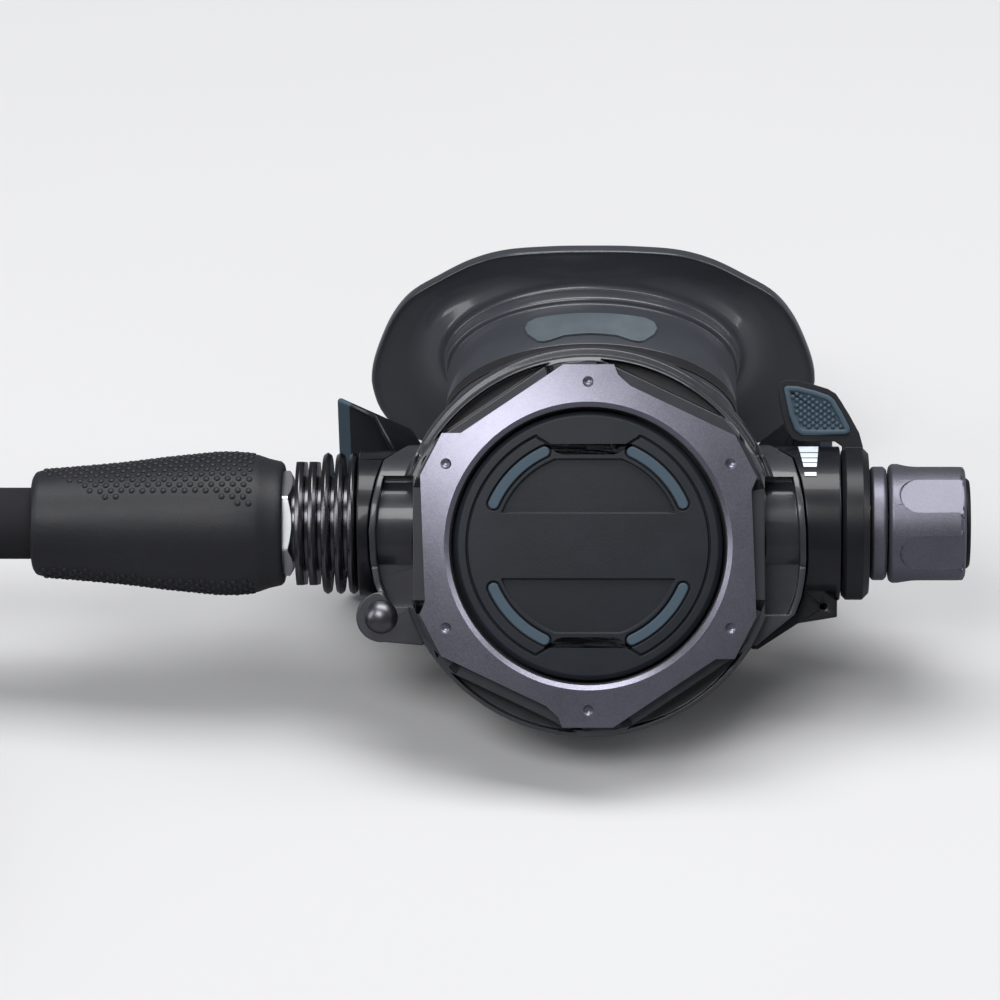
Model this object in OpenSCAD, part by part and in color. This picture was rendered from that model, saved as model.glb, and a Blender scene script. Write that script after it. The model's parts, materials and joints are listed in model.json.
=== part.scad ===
// Demand valve of a diving regulator, resting on its exhaust tee, with its braided hose coiled beside it.
// The ground is z = 0 and the origin is the centre of the tee's foot. +X is the wearer's left, +Y the mouth.
// Pieces of the head are drawn square to the front cover (x across, y depth, z up the face) by head(),
// and pieces that turn about the valve are drawn along z by on_valve(), where z is the head's x.

/* [Stand] */
// Angle that the front cover leans back from upright
tilt = 35; // [33:0.5:37]
// Height of the valve axis above the ground
axis_h = 34; // [34:0.5:36]
// Distance of the valve axis in front of the foot's centre
axis_front = 11; // [10:0.5:12]

/* [Front cover] */
// Radius of the round part of the cover
cover_r = 35.5; // [35:0.1:36.5]
// Depth of the cover behind the bezel
cover_depth = 15; // [14.5:0.1:15.5]
// Thickness of the cover's front wall
cover_wall = 2; // [1.6:0.1:2.2]
// Thickness of the cover's skirt
skirt_wall = 2.6; // [2.2:0.1:2.8]
// Reach of the ears past the round part
ear_reach = 5; // [4.2:0.1:5.4]
// Radius of the ears about the valve axis
ear_r = 15.2; // [14.8:0.1:15.4]
// Depth of the lens-shaped ports
port_depth = 5; // [3:0.5:5.5]
// Radius of the cover's raised back rim
rim_r = 36.3; // [36:0.1:36.6]
// Height of that rim's centre above the cover's
rim_rise = 1; // [0.6:0.1:1.2]
// Depth of the long windows in the ears
window_depth = 3; // [2:0.1:3.2]
// Width of the rim outside those windows
window_rim = 1.2; // [1:0.1:1.6]
// Radius of the locking pin's dome
pin_head_r = 3.1; // [2.6:0.1:3.4]

/* [Bezel ring] */
// Thickness of the bezel ring
bezel_t = 3; // [2.6:0.1:3.4]
// Reach of its upper and lower lugs
bezel_lug_r = 33.6; // [33.2:0.1:34]
// Gap between the purge button and the bezel ring
button_gap = 0.9; // [0.6:0.1:1.1]
// Radius of a dimple
dimple_r = 1.1; // [0.8:0.1:1.3]
// Radius of the ring of dimples
dimple_ring_r = 30.4; // [30:0.1:30.8]

/* [Purge button] */
// Radius of the button
button_r = 24.9; // [24:0.1:25.2]
// Depth of the button's face below the bezel's
button_set = 1; // [0.8:0.1:1.2]
// Thickness of the button's face
button_t = 2.4; // [2:0.1:2.6]
// Travel of the button
purge_travel = 2.5; // [2:0.1:2.5]
// Depth of the recessed panels and of the groove
panel_depth = 0.7; // [0.4:0.1:1]
// Width of the curved inlays
accent_w = 1.9; // [1.6:0.1:2.1]
// Radius of the middle of the curved inlays
accent_r = 19.2; // [18.8:0.1:19.6]
// Thickness of the button's return spring wire
purge_wire = 0.6; // [0.4:0.1:0.7]

/* [Case] */
// Step from the cover's rim in to the case behind it
case_step = 1.3; // [0.8:0.1:1.5]
// Thickness of the case's wall
case_wall = 3; // [2.6:0.1:3.2]
// Height of the valve axis above the cover's centre
valve_u = 4.1; // [3.6:0.1:4.4]
// Radius of the left barrel
left_barrel_r = 13.7; // [13.2:0.1:14.2]
// Radius of the right barrel
right_barrel_r = 14.5; // [14.1:0.1:14.7]
// Reach of the left barrel past the round cover
left_reach = 7.8; // [7.4:0.1:8.2]
// Reach of the right barrel past the round cover
right_reach = 11.5; // [11.1:0.1:11.8]

/* [Valve] */
// Outer radius of the valve tube
tube_r = 5.2; // [5:0.05:5.3]
// Wall of the valve tube
tube_wall = 1.3; // [1.1:0.1:1.4]
// Radius of the poppet
poppet_r = 3.4; // [3:0.1:3.5]
// Length of the demand lever's arm
lever_arm = 16; // [15:0.5:17]
// Length of the lever's feet below its pivot
foot_len = 4.2; // [4:0.1:4.4]
// Travel of the spring pad for each turn of the knob
pad_pitch = 1; // [0.8:0.1:1]

/* [Heat exchanger and hose nut] */
// Radius of the cooling fins
fin_r = 13.4; // [12.6:0.1:13.6]
// Thickness of a fin
fin_t = 1.5; // [1.2:0.1:1.7]
// Distance from one fin to the next
fin_pitch = 2.45; // [2.25:0.05:2.5]
// Number of fins
fin_count = 5; // [4:1:5]
// Distance across the spanner flats of the outer fins
spanner_flat = 23.2; // [22:0.2:24]
// Distance across the flats of the hose nut
nut_flat = 17.46; // [16.5:0.1:17.6]
// Outer radius of the crimped ferrules
ferrule_r = 8.2; // [7.9:0.1:8.4]
// Length of a crimped ferrule
ferrule_len = 26; // [24:0.5:26]

/* [Hose protector] */
// Length of the sleeve
sleeve_len = 47.5; // [46:0.1:48]
// Radius of the sleeve's large end
sleeve_r = 13.3; // [12.9:0.1:13.8]
// Radius of the sleeve's small end
sleeve_tail_r = 10; // [9.6:0.1:10.6]
// Distance that the sleeve slides back
sleeve_travel = 20; // [15:1:20]

/* [Mouthpiece] */
// Distance of the mouthpiece's axis below the cover's centre
mouth_drop = 5; // [4.5:0.1:5.5]
// Half the width of the case's mouthpiece outlet
outlet_w = 22.5; // [22:0.1:22.8]
// Half the height of the case's mouthpiece outlet
outlet_h = 12.5; // [12:0.1:12.8]
// Thickness of the mouthpiece's neck
neck_t = 3.3; // [3:0.1:3.5]
// Extra thickness of the neck's sides
neck_side = 2.1; // [1.8:0.1:2.4]
// Half the width of the lip flange
flange_w = 43.7; // [42:0.1:45]
// Thickness of the lip flange
flange_t = 2.4; // [2:0.1:3]
// Radius to which the lip flange is bent
flange_bend = 125; // [110:5:150]
// Width of the badge on the neck
badge_w = 25.5; // [22:0.5:27]

/* [Exhaust tee] */
// Distance from the tee's middle to its left wing's tip
tip_reach = 44.2; // [43:0.1:45]
// Half the thickness of the tee at its middle
tee_mid_half = 13; // [12:0.2:13]
// Half the thickness of a wing at its tip
tee_tip_half = 6.5; // [6:0.1:7]
// Height of the tee's middle
tee_mid_top = 20.5; // [19:0.5:20.5]
// Height of a wing's front edge at its tip
tee_tip_top = 47; // [46:0.5:48]
// Drop of a wing's top from its front edge to its back edge
tip_lean = 11.7; // [11:0.1:12.5]
// Rounding of a wing's edges at its tip
tip_round = 1.4; // [1:0.1:3]
// Wall of the tee
tee_wall = 1.8; // [1.5:0.1:2]
// Width of the coloured edge on a wing tip
trim_w = 2.2; // [1.8:0.1:3]

/* [Venturi lever and knob] */
// Radius of the lever's ring
ring_r = 14.4; // [14:0.1:14.6]
// Width of the lever's ring
ring_w = 5.1; // [4.7:0.1:5.2]
// Thickness of the lever's paddle
paddle_t = 3; // [2.6:0.1:3.4]
// Radius of the packing nut
collar_r = 10.7; // [10:0.1:11]
// Width of the packing nut
collar_w = 3.1; // [2.7:0.1:3.2]
// Radius of the adjusting knob
knob_r = 11.2; // [10.8:0.1:11.6]
// Length of the adjusting knob
knob_len = 14.4; // [13:0.1:15]
// Depth of the knob's flats
knob_flat = 0.6; // [0.5:0.1:0.8]
// Width of the knob's flats
knob_flat_w = 7; // [6:0.2:7]

/* [Hose] */
// Outer radius of the braided hose
hose_r = 6.75; // [6.5:0.05:6.8]
// Radius of the coil's first turn, at the hose's middle
coil_r = 61; // [60:0.5:62]
// Growth of the coil's radius in one turn
coil_pitch = 14.5; // [14.2:0.1:15]
// Thickness of the strap round the coil
strap_t = 0.8; // [0.6:0.1:0.9]
// Radius of the thread that goes into a first stage
thread_r = 4.76; // [4.7:0.01:4.9]
// Length of that thread
thread_len = 9; // [8:0.5:10]

/* [Hidden] */
$fn = 96;

// Clearances
run_gap = 0.3;    // between faces that move past each other
fit_gap = 0.05;   // between a piece and the seat that holds it
snug_gap = 0.1;   // between a rubber piece and what it grips
eps = 0.01;

// Depths behind the bezel's face, from front to back
cover_back = bezel_t + cover_depth;
wall_back = bezel_t + cover_wall;
button_hole_r = button_r + 0.5;
button_rim_t = 1.2;
button_rim_r = button_hole_r + 1.8;
button_rim_d = wall_back + run_gap;
guard_t = 1;
guard_d = button_rim_d + button_rim_t + purge_travel + run_gap;
guard_collar = 1.3;
diaphragm_d = guard_d + guard_t + guard_collar;
bead_t = 1.4;
case_rim_d = diaphragm_d + bead_t;
plate_t = 0.8;
plate_d = guard_d + guard_t + 0.4;
plate_r = 12;
roller_r = 0.7;
roller_d = plate_d + plate_t + run_gap + roller_r;
tube_top_d = roller_d + purge_travel + roller_r + 0.6;
pivot_d = tube_top_d - 0.7;
valve_d = tube_top_d + tube_r;
case_back_d = valve_d + tube_r + 7.8;

// Radii about the cover's axis
spigot_r = cover_r - skirt_wall - run_gap;
case_r = cover_r - case_step;
back_r = case_r - 6.7;
cover_ledge_r = spigot_r - 2.1;
bowl_r = spigot_r - case_wall;
bezel_hole_r = button_r + button_gap;
hub_r = 4;

// Radii about the valve axis
neck_r = 11;
neck_bore_r = 7.5;
sleeve_bore_r = 6.8;
tube_bore_r = tube_r - tube_wall;
screw_r = 2.5;

// Places along the valve axis
barrel_in = 3;    // how far the barrels reach into the round part
left_face = cover_r + left_reach;
right_face = cover_r + right_reach;
exchanger_face = -left_face - snug_gap;
first_fin = exchanger_face - 0.3;
fins_end = first_fin - (fin_count - 1) * fin_pitch - fin_t;
nut_end = fins_end - 0.8;
nut_len = 11.5;
ferrule_x = nut_end - nut_len;
ferrule_tail = ferrule_x - ferrule_len;
sleeve_end = nut_end - 1.7;
ring_x = right_face + run_gap;
collar_x = ring_x + ring_w + run_gap;
knob_x = collar_x + collar_w + run_gap;
knob_end = knob_x + knob_len;
exchanger_tip = -left_face + 8.2;
tube_left = exchanger_tip - 3.9;
tube_right = collar_x + 2;
orifice_tip = exchanger_tip + 5;
seat_x = orifice_tip + snug_gap;
poppet_x = seat_x + 1.4;
shaft_x = poppet_x + 15.5;
pad_x = 29.6;
pad_t = 2;
spring_end = pad_x - pad_pitch - 1.1;
vane_x = 19;

// The head's place above the ground
head_y = -axis_front - valve_d * cos(tilt) - valve_u * sin(tilt);
head_z = axis_h + valve_d * sin(tilt) - valve_u * cos(tilt);
mouth_z = head_z - mouth_drop;

// Distances behind the cover's centre along the mouthpiece's axis
outlet_end = 56;
neck_start = 46.4;
clamp_y = 48;
clamp_w = 3.2;
neck_end = 65.4;
flange_y = 69;
bite_end = 96;

// Exhaust port in the flat back
port_u = -12;
port_boss_r = 11.2;
port_bore_r = 9;
port_boss_len = 2.5;

// ---------------------------------------------------------------- helpers

module head() {
    translate([0, head_y, head_z]) rotate([-tilt, 0, 0]) children();
}

// An outline on the cover's face, extruded from one depth to another
module slab(front, back) {
    translate([0, back, 0]) rotate([90, 0, 0]) linear_extrude(back - front) children();
}

// A profile of [radius, depth] turned about the cover's axis
module turned() {
    rotate([-90, 0, 0]) rotate_extrude() children();
}

// A ring about the cover's axis, at a height u on the face
module cover_ring(r_out, r_in, front, back, u = 0) {
    translate([0, 0, u]) turned() translate([r_in, front]) square([r_out - r_in, back - front]);
}

// Drawn along z, laid on the valve axis
module on_valve() {
    translate([0, valve_d, valve_u]) rotate([0, 90, 0]) children();
}

// A tube or rod about the valve axis, from x0 to x1
module valve_ring(x0, x1, r_out, r_in = 0) {
    on_valve() rotate_extrude() translate([r_in, x0]) square([r_out - r_in, x1 - x0]);
}

// An outline across the mouthpiece's axis, extruded between two distances behind the cover's centre
module across_mouth(y0, y1) {
    translate([0, head_y + y1, mouth_z]) rotate([90, 0, 0]) linear_extrude(y1 - y0) children();
}

// A straight-sided oval
module oval(half_w, half_h) {
    straight = half_w - half_h;
    square([2 * straight, 2 * half_h], center = true);
    for (side = [-1, 1]) translate([side * straight, 0]) circle(half_h);
}

function ramp(t) = t < 0 ? 0 : t > 1 ? 1 : t * t * (3 - 2 * t);
function unit(v) = v / norm(v);
function mix(a, b, t) = a + (b - a) * t;

// A closed outline made smooth, with count points for each one given
function smooth(points, count) = let (n = len(points)) [for (i = [0:n - 1]) for (k = [0:count - 1])
    let (a = points[(i + n - 1) % n], b = points[i], c = points[(i + 1) % n], d = points[(i + 2) % n], t = k / count)
    b + (c - a) * t / 2 + (2 * a - 5 * b + 4 * c - d) * t * t / 2 + (3 * (b - c) + d - a) * t * t * t / 2];

function sum(list, last) = last < 0 ? 0 : list[last] + sum(list, last - 1);

// A closed skin over rings of points that all have the same count, with flat ends
module skin(rings) {
    sides = len(rings[0]);
    last = len(rings) - 1;
    walls = [for (i = [0:last - 1]) for (k = [0:sides - 1])
        let (a = i * sides + k, b = i * sides + (k + 1) % sides)
        each [[a, b, b + sides], [a, b + sides, a + sides]]];
    ends = [for (k = [1:sides - 2]) each
        [[0, k + 1, k], [last * sides, last * sides + k, last * sides + k + 1]]];
    polyhedron([for (ring = rings) each ring], concat(walls, ends));
}

// A closed skin over rings that come back to the first one
module loop_skin(rings) {
    sides = len(rings[0]);
    count = len(rings);
    polyhedron([for (ring = rings) each ring], [for (i = [0:count - 1]) for (k = [0:sides - 1])
        let (from = i * sides, to = (i + 1) % count * sides, next = (k + 1) % sides)
        each [[from + k, from + next, to + next], [from + k, to + next, to + k]]]);
}

// Rings of a tube of radius r about the points of a path, square to the directions given
function tube_rings(path, dirs, r, sides) = [for (i = [0:len(path) - 1])
    let (side = unit(cross(dirs[i], [0, 0, 1])), up = cross(side, dirs[i]))
    [for (k = [0:sides - 1]) let (a = 90 + 360 * k / sides) path[i] + r * (cos(a) * side + sin(a) * up)]];

// Directions along a path, from each point's neighbours
function path_dirs(path) = [for (i = [0:len(path) - 1])
    unit(path[min(i + 1, len(path) - 1)] - path[max(i - 1, 0)])];

// A helical wire about z, with flat ends
module helix(mid_r, wire_r, height, turns) {
    steps = 8;
    rise = height - 2 * wire_r;
    rings = [for (i = [0:turns * steps]) let (a = 360 * i / steps, z = wire_r + rise * i / (turns * steps))
        [for (k = [0:5]) let (b = 60 * k)
            [(mid_r + wire_r * cos(b)) * cos(a), (mid_r + wire_r * cos(b)) * sin(a), z + wire_r * sin(b)]]];
    skin([for (i = [len(rings) - 1:-1:0]) rings[i]]);
}

// ---------------------------------------------------------------- outlines on the cover's face

// Ears: how far each corner reaches past the round cover, as a part of ear_reach, and its height
left_ear = [[-1.44, 22.4], [0.58, 16], [0.82, 12.2], [1, 7.6], [1.09, 2.7], [1.05, -2.6], [0.92, -6.7],
    [0.68, -9.8], [0.36, -12.2], [-1, -18.5]];
right_ear = [[-1.54, 22.4], [0.5, 16.4], [0.74, 12.5], [0.88, 8.5], [0.98, 3], [1, -2.6], [0.95, -6],
    [0.82, -9.5], [0.58, -12.8], [-0.88, -18.7]];

function ear_outline(ear, side, grow) = concat(
    [for (p = ear) [side * (cover_r + p[0] * ear_reach + grow), p[1]]],
    [[0, -valve_u], [0, valve_u]]);

module ear_shapes(grow = 0) {
    polygon(ear_outline(left_ear, -1, grow));
    polygon(ear_outline(right_ear, 1, grow));
}

// Half of the bezel's outline, clockwise from its upper lug; the other half is the same turned round
bezel_half = [[-4.6, bezel_lug_r], [4.8, bezel_lug_r], [5.5, 31.7], [7.8, 29.6], [27.2, 20.4], [31.2, 12.7],
    [30.2, 10.3], [30.9, -7.6], [31.1, -13.1], [27.1, -20.9], [23.6, -20.9]];

module bezel_outline() {
    polygon([for (turn = [1, -1]) for (p = bezel_half) turn * p]);
}

// The button's groove runs round its rim and steps in to a flat at the top and the bottom.
// From each corner of the step, the way that it moves as the outline is drawn in.
groove_step = [[9.9, 22], [9.7, 20.8], [9.2, 20.1], [8.4, 19.7], [5.6, 17.8], [4.6, 17.5]];
groove_move = [[1, 0], [1, -0.2], [0.8, -0.6], [0.5, -0.9], [0.5, -0.9], [0.2, -1]];

module groove_shape(r, step) {
    corners = [for (i = [0:len(groove_step) - 1]) groove_step[i] + step * groove_move[i]];
    difference() {
        circle(r);
        for (side = [-1, 1]) polygon(concat([[corners[0][0], side * 26]],
            [for (p = corners) [p[0], side * p[1]]],
            [for (i = [len(corners) - 1:-1:0]) [-corners[i][0], side * corners[i][1]]],
            [[-corners[0][0], side * 26]]));
    }
}

// Paddle of the venturi lever, as seen on the cover's face, and its rubber inlay.
// Places across are counted from the outer face of the lever's ring.
paddle_outline = [[-17, 29.6], [-16.4, 30.7], [-15.2, 31.1], [-13.2, 31], [-10.2, 30.2], [-7.6, 29.4], [-6.1, 28.5],
    [-5.2, 27.2], [-3.6, 24.6], [-1.7, 21.1], [-1, 18.5], [-0.9, 14], [-ring_w + 0.3, 14], [-ring_w + 0.2, 18.6],
    [-6.2, 19.5], [-13, 19.6], [-14.3, 20], [-15.4, 21.8], [-16.3, 25.2]];
inlay_outline = [[-15.9, 29.6], [-15.3, 30], [-13.2, 29.9], [-10, 29.1], [-7.4, 28.2], [-6.4, 27.4], [-4.9, 24.9],
    [-3.5, 22.2], [-3.4, 21.2], [-4.3, 20.7], [-8.8, 20.6], [-12.6, 20.7], [-13.9, 21.6], [-15, 24.6]];

// ---------------------------------------------------------------- case and cover

// Outside of the case without its outlets, grown by a clearance
module case_shell(grow) {
    shoulder = cover_back;
    turned() polygon([[0, case_rim_d], [spigot_r, case_rim_d], [spigot_r, shoulder - grow],
        [case_r + grow, shoulder - grow], [case_r + grow, shoulder + 3], [case_r - 1 + grow, shoulder + 6],
        [case_r - 3.7 + grow, case_back_d - 4.5], [back_r + grow, case_back_d + grow], [0, case_back_d + grow]]);
}

// Outline of the cover with its raised back rim, grown by a clearance
module cover_outline(grow) {
    circle(cover_r + grow);
    translate([0, rim_rise]) circle(rim_r + grow);
    ear_shapes(grow);
}

// Barrel of the case about the valve axis, cut back behind the cover
module barrel(x0, x1, r) {
    difference() {
        valve_ring(x0, x1, r);
        slab(-1, cover_back) cover_outline(run_gap);
    }
}

// Lug under the right barrel, with a small blind hole
module lanyard_lug() {
    tip = right_face - 0.6;
    front = cover_back - 3.6;
    difference() {
        slab(front, front + 8) polygon([[cover_r - 5.5, -9], [tip - 3.8, -7.5], [tip, -10.3], [tip, -13.4],
            [cover_r + 3.6, -14.6], [cover_r - 4, -19.5], [cover_r - 10.5, -19]]);
        slab(front - 1, front + 2.5) translate([tip - 2.6, -11.4]) circle(0.6);
    }
}

module case_body() {
    color("#17171a") difference() {
        union() {
            head() case_shell(0);
            head() difference() {
                union() {
                    valve_ring(-left_face, right_face, neck_r);
                    barrel(-left_face, barrel_in - cover_r, left_barrel_r);
                    barrel(cover_r - barrel_in, right_face, right_barrel_r);
                    difference() {
                        lanyard_lug();
                        slab(-1, cover_back) cover_outline(run_gap);
                    }
                }
                cover_ring(spigot_r, 0, -1, case_rim_d);
            }
            across_mouth(26, outlet_end) oval(outlet_w, outlet_h);
            head() cover_ring(port_boss_r, 0, case_back_d - 1, case_back_d + port_boss_len, port_u);
        }
        // bowl, open to the front
        head() turned() polygon([[0, case_rim_d - 1], [bowl_r, case_rim_d - 1], [bowl_r, cover_back + 3],
            [bowl_r - 1.2, cover_back + 6], [bowl_r - 3.4, case_back_d - 5], [back_r - 3.5, case_back_d - 3],
            [0, case_back_d - 3]]);
        head() valve_ring(-left_face - 1, 0, neck_bore_r);
        head() valve_ring(0, right_face + 1, sleeve_bore_r);
        across_mouth(24, outlet_end + 1) oval(outlet_w - 2.5, outlet_h - 2.5);
        // exhaust port behind its spider: a hub on three spokes
        head() difference() {
            cover_ring(port_bore_r, 0, case_back_d - 4, case_back_d + port_boss_len + 1, port_u);
            cover_ring(3, 1.6, case_back_d - 1, case_back_d + port_boss_len - 0.5, port_u);
            translate([0, 0, port_u]) for (a = [90, 210, 330]) rotate([0, a, 0])
                translate([2.5, case_back_d - 1, -0.7]) cube([port_bore_r, port_boss_len - 0.5, 1.4]);
        }
    }
}

// Lens-shaped port between a chord and the cover's rim
module lens_port(angle) {
    chord = bezel_lug_r - 1.4;
    rotate(angle) intersection() {
        circle(cover_r - 0.8);
        translate([chord, -cover_r]) square([cover_r, 2 * cover_r]);
    }
}

rim_front = bezel_t + 4.5;

module front_cover() {
    color("#101013") head() difference() {
        union() {
            // round part with a stepped rim
            turned() polygon([[0, bezel_t], [cover_r - 1.2, bezel_t], [cover_r - 0.3, bezel_t + 0.6],
                [cover_r, bezel_t + 1.6], [cover_r, cover_back], [0, cover_back]]);
            // raised back rim
            translate([0, 0, rim_rise]) turned() polygon([[0, rim_front], [rim_r - 0.6, rim_front],
                [rim_r, rim_front + 1], [rim_r, cover_back], [0, cover_back]]);
            difference() {
                union() {
                    intersection() {
                        slab(bezel_t, cover_back) ear_shapes();
                        valve_ring(-60, 60, ear_r);
                    }
                    intersection() {
                        slab(bezel_t + 5, cover_back) ear_shapes();
                        translate([-60, 0, -40]) cube([120, 40, 36]);
                    }
                    // boss of the locking pin
                    slab(bezel_t + 3.5, cover_back) pin_boss();
                }
                valve_ring(-60, 60, neck_r + run_gap);
            }
        }
        // openings for the button, its rim and the guard
        cover_ring(button_hole_r, 0, bezel_t - 1, wall_back + 1);
        cover_ring(cover_ledge_r, 0, wall_back, guard_d + eps);
        cover_ring(spigot_r + run_gap, 0, guard_d, cover_back + 1);
        for (side = [-1, 1]) intersection() {
            translate([side * (cover_r - 10.5) - 15, 0, -20]) cube([30, 40, 50]);
            valve_ring(-60, 60, neck_r + run_gap);
        }
        slab(bezel_t - 1, bezel_t + port_depth) for (a = [64.6, 123.8, 244.6, 303.8]) lens_port(a);
        // long windows, with a floor that follows the barrel
        difference() {
            slab(bezel_t - 1, valve_d) intersection() {
                ear_shapes(-window_rim);
                union() {
                    translate([cover_r - 2.8, -13]) square([12, 25.8]);
                    translate([2.9 - cover_r - 12, -11.4]) square([12, 24.4]);
                }
            }
            valve_ring(-60, 60, ear_r - window_depth);
            translate([-60, bezel_t + 9, -40]) cube([120, 40, 80]);
        }
        // tab pockets above the ears
        slab(bezel_t - 1, bezel_t + 8) for (side = [-1, 1])
            polygon([[side * 31, 16.6], [side * 34.6, 16.6], [side * 33.4, 20], [side * 31, 21.4]]);
        // hole of the locking pin
        translate([pin_x, bezel_t + 3, pin_u]) rotate([-90, 0, 0]) cylinder(r = pin_shaft_r, h = 12);
    }
}

pin_x = -cover_r - 3.1;
pin_u = -13.3;
pin_shaft_r = 1.6;
pin_boss_r = 4.7;

module pin_boss() {
    translate([pin_x, pin_u]) circle(pin_boss_r);
    polygon([[pin_x - 1.2, pin_u - 4.5], [4.5 - cover_r, -18.6], [7.5 - cover_r, -10], [pin_x, pin_u + 4]]);
}

module lock_pin() {
    seat = bezel_t + 3.5;
    rise = 1.9;
    // a dome of the given radius and rise is cut from this sphere
    ball_r = (pin_head_r * pin_head_r + rise * rise) / (2 * rise);
    color("#35343a") head() translate([pin_x, 0, pin_u]) {
        turned() translate([0, seat]) square([pin_shaft_r - fit_gap, 10]);
        intersection() {
            translate([0, seat - rise + ball_r, 0]) sphere(ball_r);
            translate([-5, seat - 5, -5]) cube([10, 5, 10]);
        }
    }
}

module bezel_ring() {
    color("#625f6c") head() difference() {
        slab(0, bezel_t) bezel_outline();
        turned() polygon([[0, -1], [bezel_hole_r + 1.9, -1], [bezel_hole_r + 0.9, 0], [bezel_hole_r, 1],
            [bezel_hole_r, bezel_t + 1], [0, bezel_t + 1]]);
        for (a = [30:60:330]) rotate([0, a, 0]) translate([dimple_ring_r, -0.4 * dimple_r, 0]) sphere(dimple_r);
    }
}

// ---------------------------------------------------------------- purge button and diaphragm

module panel_shapes() {
    for (side = [-1, 1]) intersection() {
        circle(17.2);
        translate([-20, side > 0 ? 6.1 : -16.1]) square([40, 10]);
    }
}

// Curved inlays, with round ends
module accent_shapes(grow = 0) {
    from = 24;
    to = 65;
    for (quarter = [0, 180]) for (flip = [0, 1]) rotate(quarter) mirror([flip, 0]) {
        intersection() {
            difference() {
                circle(accent_r + accent_w / 2 + grow);
                circle(accent_r - accent_w / 2 - grow);
            }
            polygon([[0, 0], 40 * [cos(from), sin(from)], 50 * [cos(45), sin(45)], 40 * [cos(to), sin(to)]]);
        }
        for (a = [from, to]) translate(accent_r * [cos(a), sin(a)]) circle(accent_w / 2 + grow);
    }
}

module purge_button() {
    face = button_set;
    back = face + button_t;
    color("#2a2d31") head() difference() {
        union() {
            turned() polygon([[0, face], [button_r - 0.8, face], [button_r, face + 0.8], [button_r, button_rim_d],
                [button_rim_r, button_rim_d], [button_rim_r, button_rim_d + button_rim_t],
                [button_r - 1.8, button_rim_d + button_rim_t], [button_r - 1.8, back], [0, back]]);
            cover_ring(hub_r, 0, back - eps, plate_d - run_gap);
        }
        slab(face - 1, face + panel_depth) panel_shapes();
        slab(face - 1, face + panel_depth) difference() {
            groove_shape(22.7, 0);
            groove_shape(22.3, 0.4);
        }
        slab(face - 1, face + panel_depth) accent_shapes(0.35);
    }
}

module purge_accents() {
    color("#51646f") head() slab(button_set, button_set + panel_depth) accent_shapes();
}

module purge_spring() {
    pressed = guard_d - button_set - button_t - purge_travel - run_gap;
    color("silver") head() translate([0, guard_d, 0]) rotate([90, 0, 0])
        helix(6.5, purge_wire / 2, pressed, 3);
}

module diaphragm_guard() {
    color("#222226") head() difference() {
        union() {
            cover_ring(spigot_r - 0.4, 0, guard_d, guard_d + guard_t);
            cover_ring(spigot_r - 0.4, bowl_r - 0.6, guard_d, diaphragm_d);
        }
        cover_ring(hub_r + 0.5, 0, guard_d - 1, guard_d + guard_t + 1);
        for (a = [0:45:315]) rotate([0, a, 0]) translate([17.5, guard_d - 1, 0])
            rotate([-90, 0, 0]) cylinder(r = 4.6, h = guard_t + 2);
    }
}

module diaphragm() {
    t = 0.6;
    d = diaphragm_d;
    color("#3b3b40") head() turned() polygon([[plate_r + 0.5, d - 0.6], [16, d - 0.6], [19, d + 0.8], [23, d + 0.8],
        [26, d], [bowl_r - 0.6, d], [spigot_r - 0.4, d], [spigot_r - 0.4, d + bead_t], [bowl_r + 0.2, d + bead_t],
        [bowl_r + 0.2, d + t], [26, d + t], [23, d + 0.8 + t], [19, d + 0.8 + t], [16, d - 0.6 + t],
        [plate_r + 0.5, d - 0.6 + t]]);
}

module diaphragm_plate() {
    color("#8a8a90") head() cover_ring(plate_r, 0, plate_d, plate_d + plate_t);
}

// ---------------------------------------------------------------- valve

module demand_lever() {
    // the arm slopes from the roller under the diaphragm to the pivot on the tube
    slope = atan((pivot_d - roller_d) / lever_arm);
    arm_len = norm([lever_arm, pivot_d - roller_d]);
    foot_in = 1.4;
    foot_t = 1;
    pivot_r = 0.8;
    color("#b9b9bd") head() translate([0, 0, valve_u]) {
        translate([0, roller_d, -foot_in - foot_t]) cylinder(r = roller_r, h = 2 * (foot_in + foot_t));
        for (side = [-1, 1]) translate([0, 0, side * (foot_in + foot_t / 2)]) {
            translate([0, roller_d, 0]) rotate([0, 0, slope])
                translate([0, -0.45, -foot_t / 2]) cube([arm_len, 0.9, foot_t]);
            translate([lever_arm, pivot_d, -foot_t / 2]) cylinder(r = pivot_r, h = foot_t);
            translate([lever_arm - 0.8, pivot_d - 0.45, -foot_t / 2]) cube([1.1, foot_len + 0.45, foot_t]);
        }
    }
}

nut_x = lever_arm + 0.6;

module valve_tube() {
    color("#b08d4f") head() difference() {
        valve_ring(tube_left, tube_right, tube_r, tube_bore_r);
        // window for the lever's feet
        translate([lever_arm - 2.8, valve_d - tube_r - 1, valve_u - 3.4]) cube([5.6, 4.4, 6.8]);
        // outlet towards the mouthpiece
        translate([-4, valve_d, valve_u]) rotate([-90, 0, 0]) cylinder(r = 2.6, h = 8);
    }
}

module seat_orifice() {
    shoulder = orifice_tip - 1.4;
    fit_r = tube_bore_r - fit_gap;
    color("#c9c9cc") head() on_valve() rotate_extrude() polygon([[1.2, exchanger_tip], [fit_r, exchanger_tip],
        [fit_r, shoulder], [2.2, shoulder], [1.7, orifice_tip], [1.2, orifice_tip]]);
}

module poppet_seat() {
    color("#303034") head() valve_ring(seat_x, poppet_x, poppet_r - 0.7);
}

module poppet() {
    color("#d8d8d2") head() {
        valve_ring(poppet_x, shaft_x, poppet_r);
        valve_ring(shaft_x, nut_x + 2.3, 1.2);
    }
}

module poppet_nut() {
    color("#b9b9bd") head() valve_ring(nut_x, nut_x + 2, 2.9, 1.2 + fit_gap);
}

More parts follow.
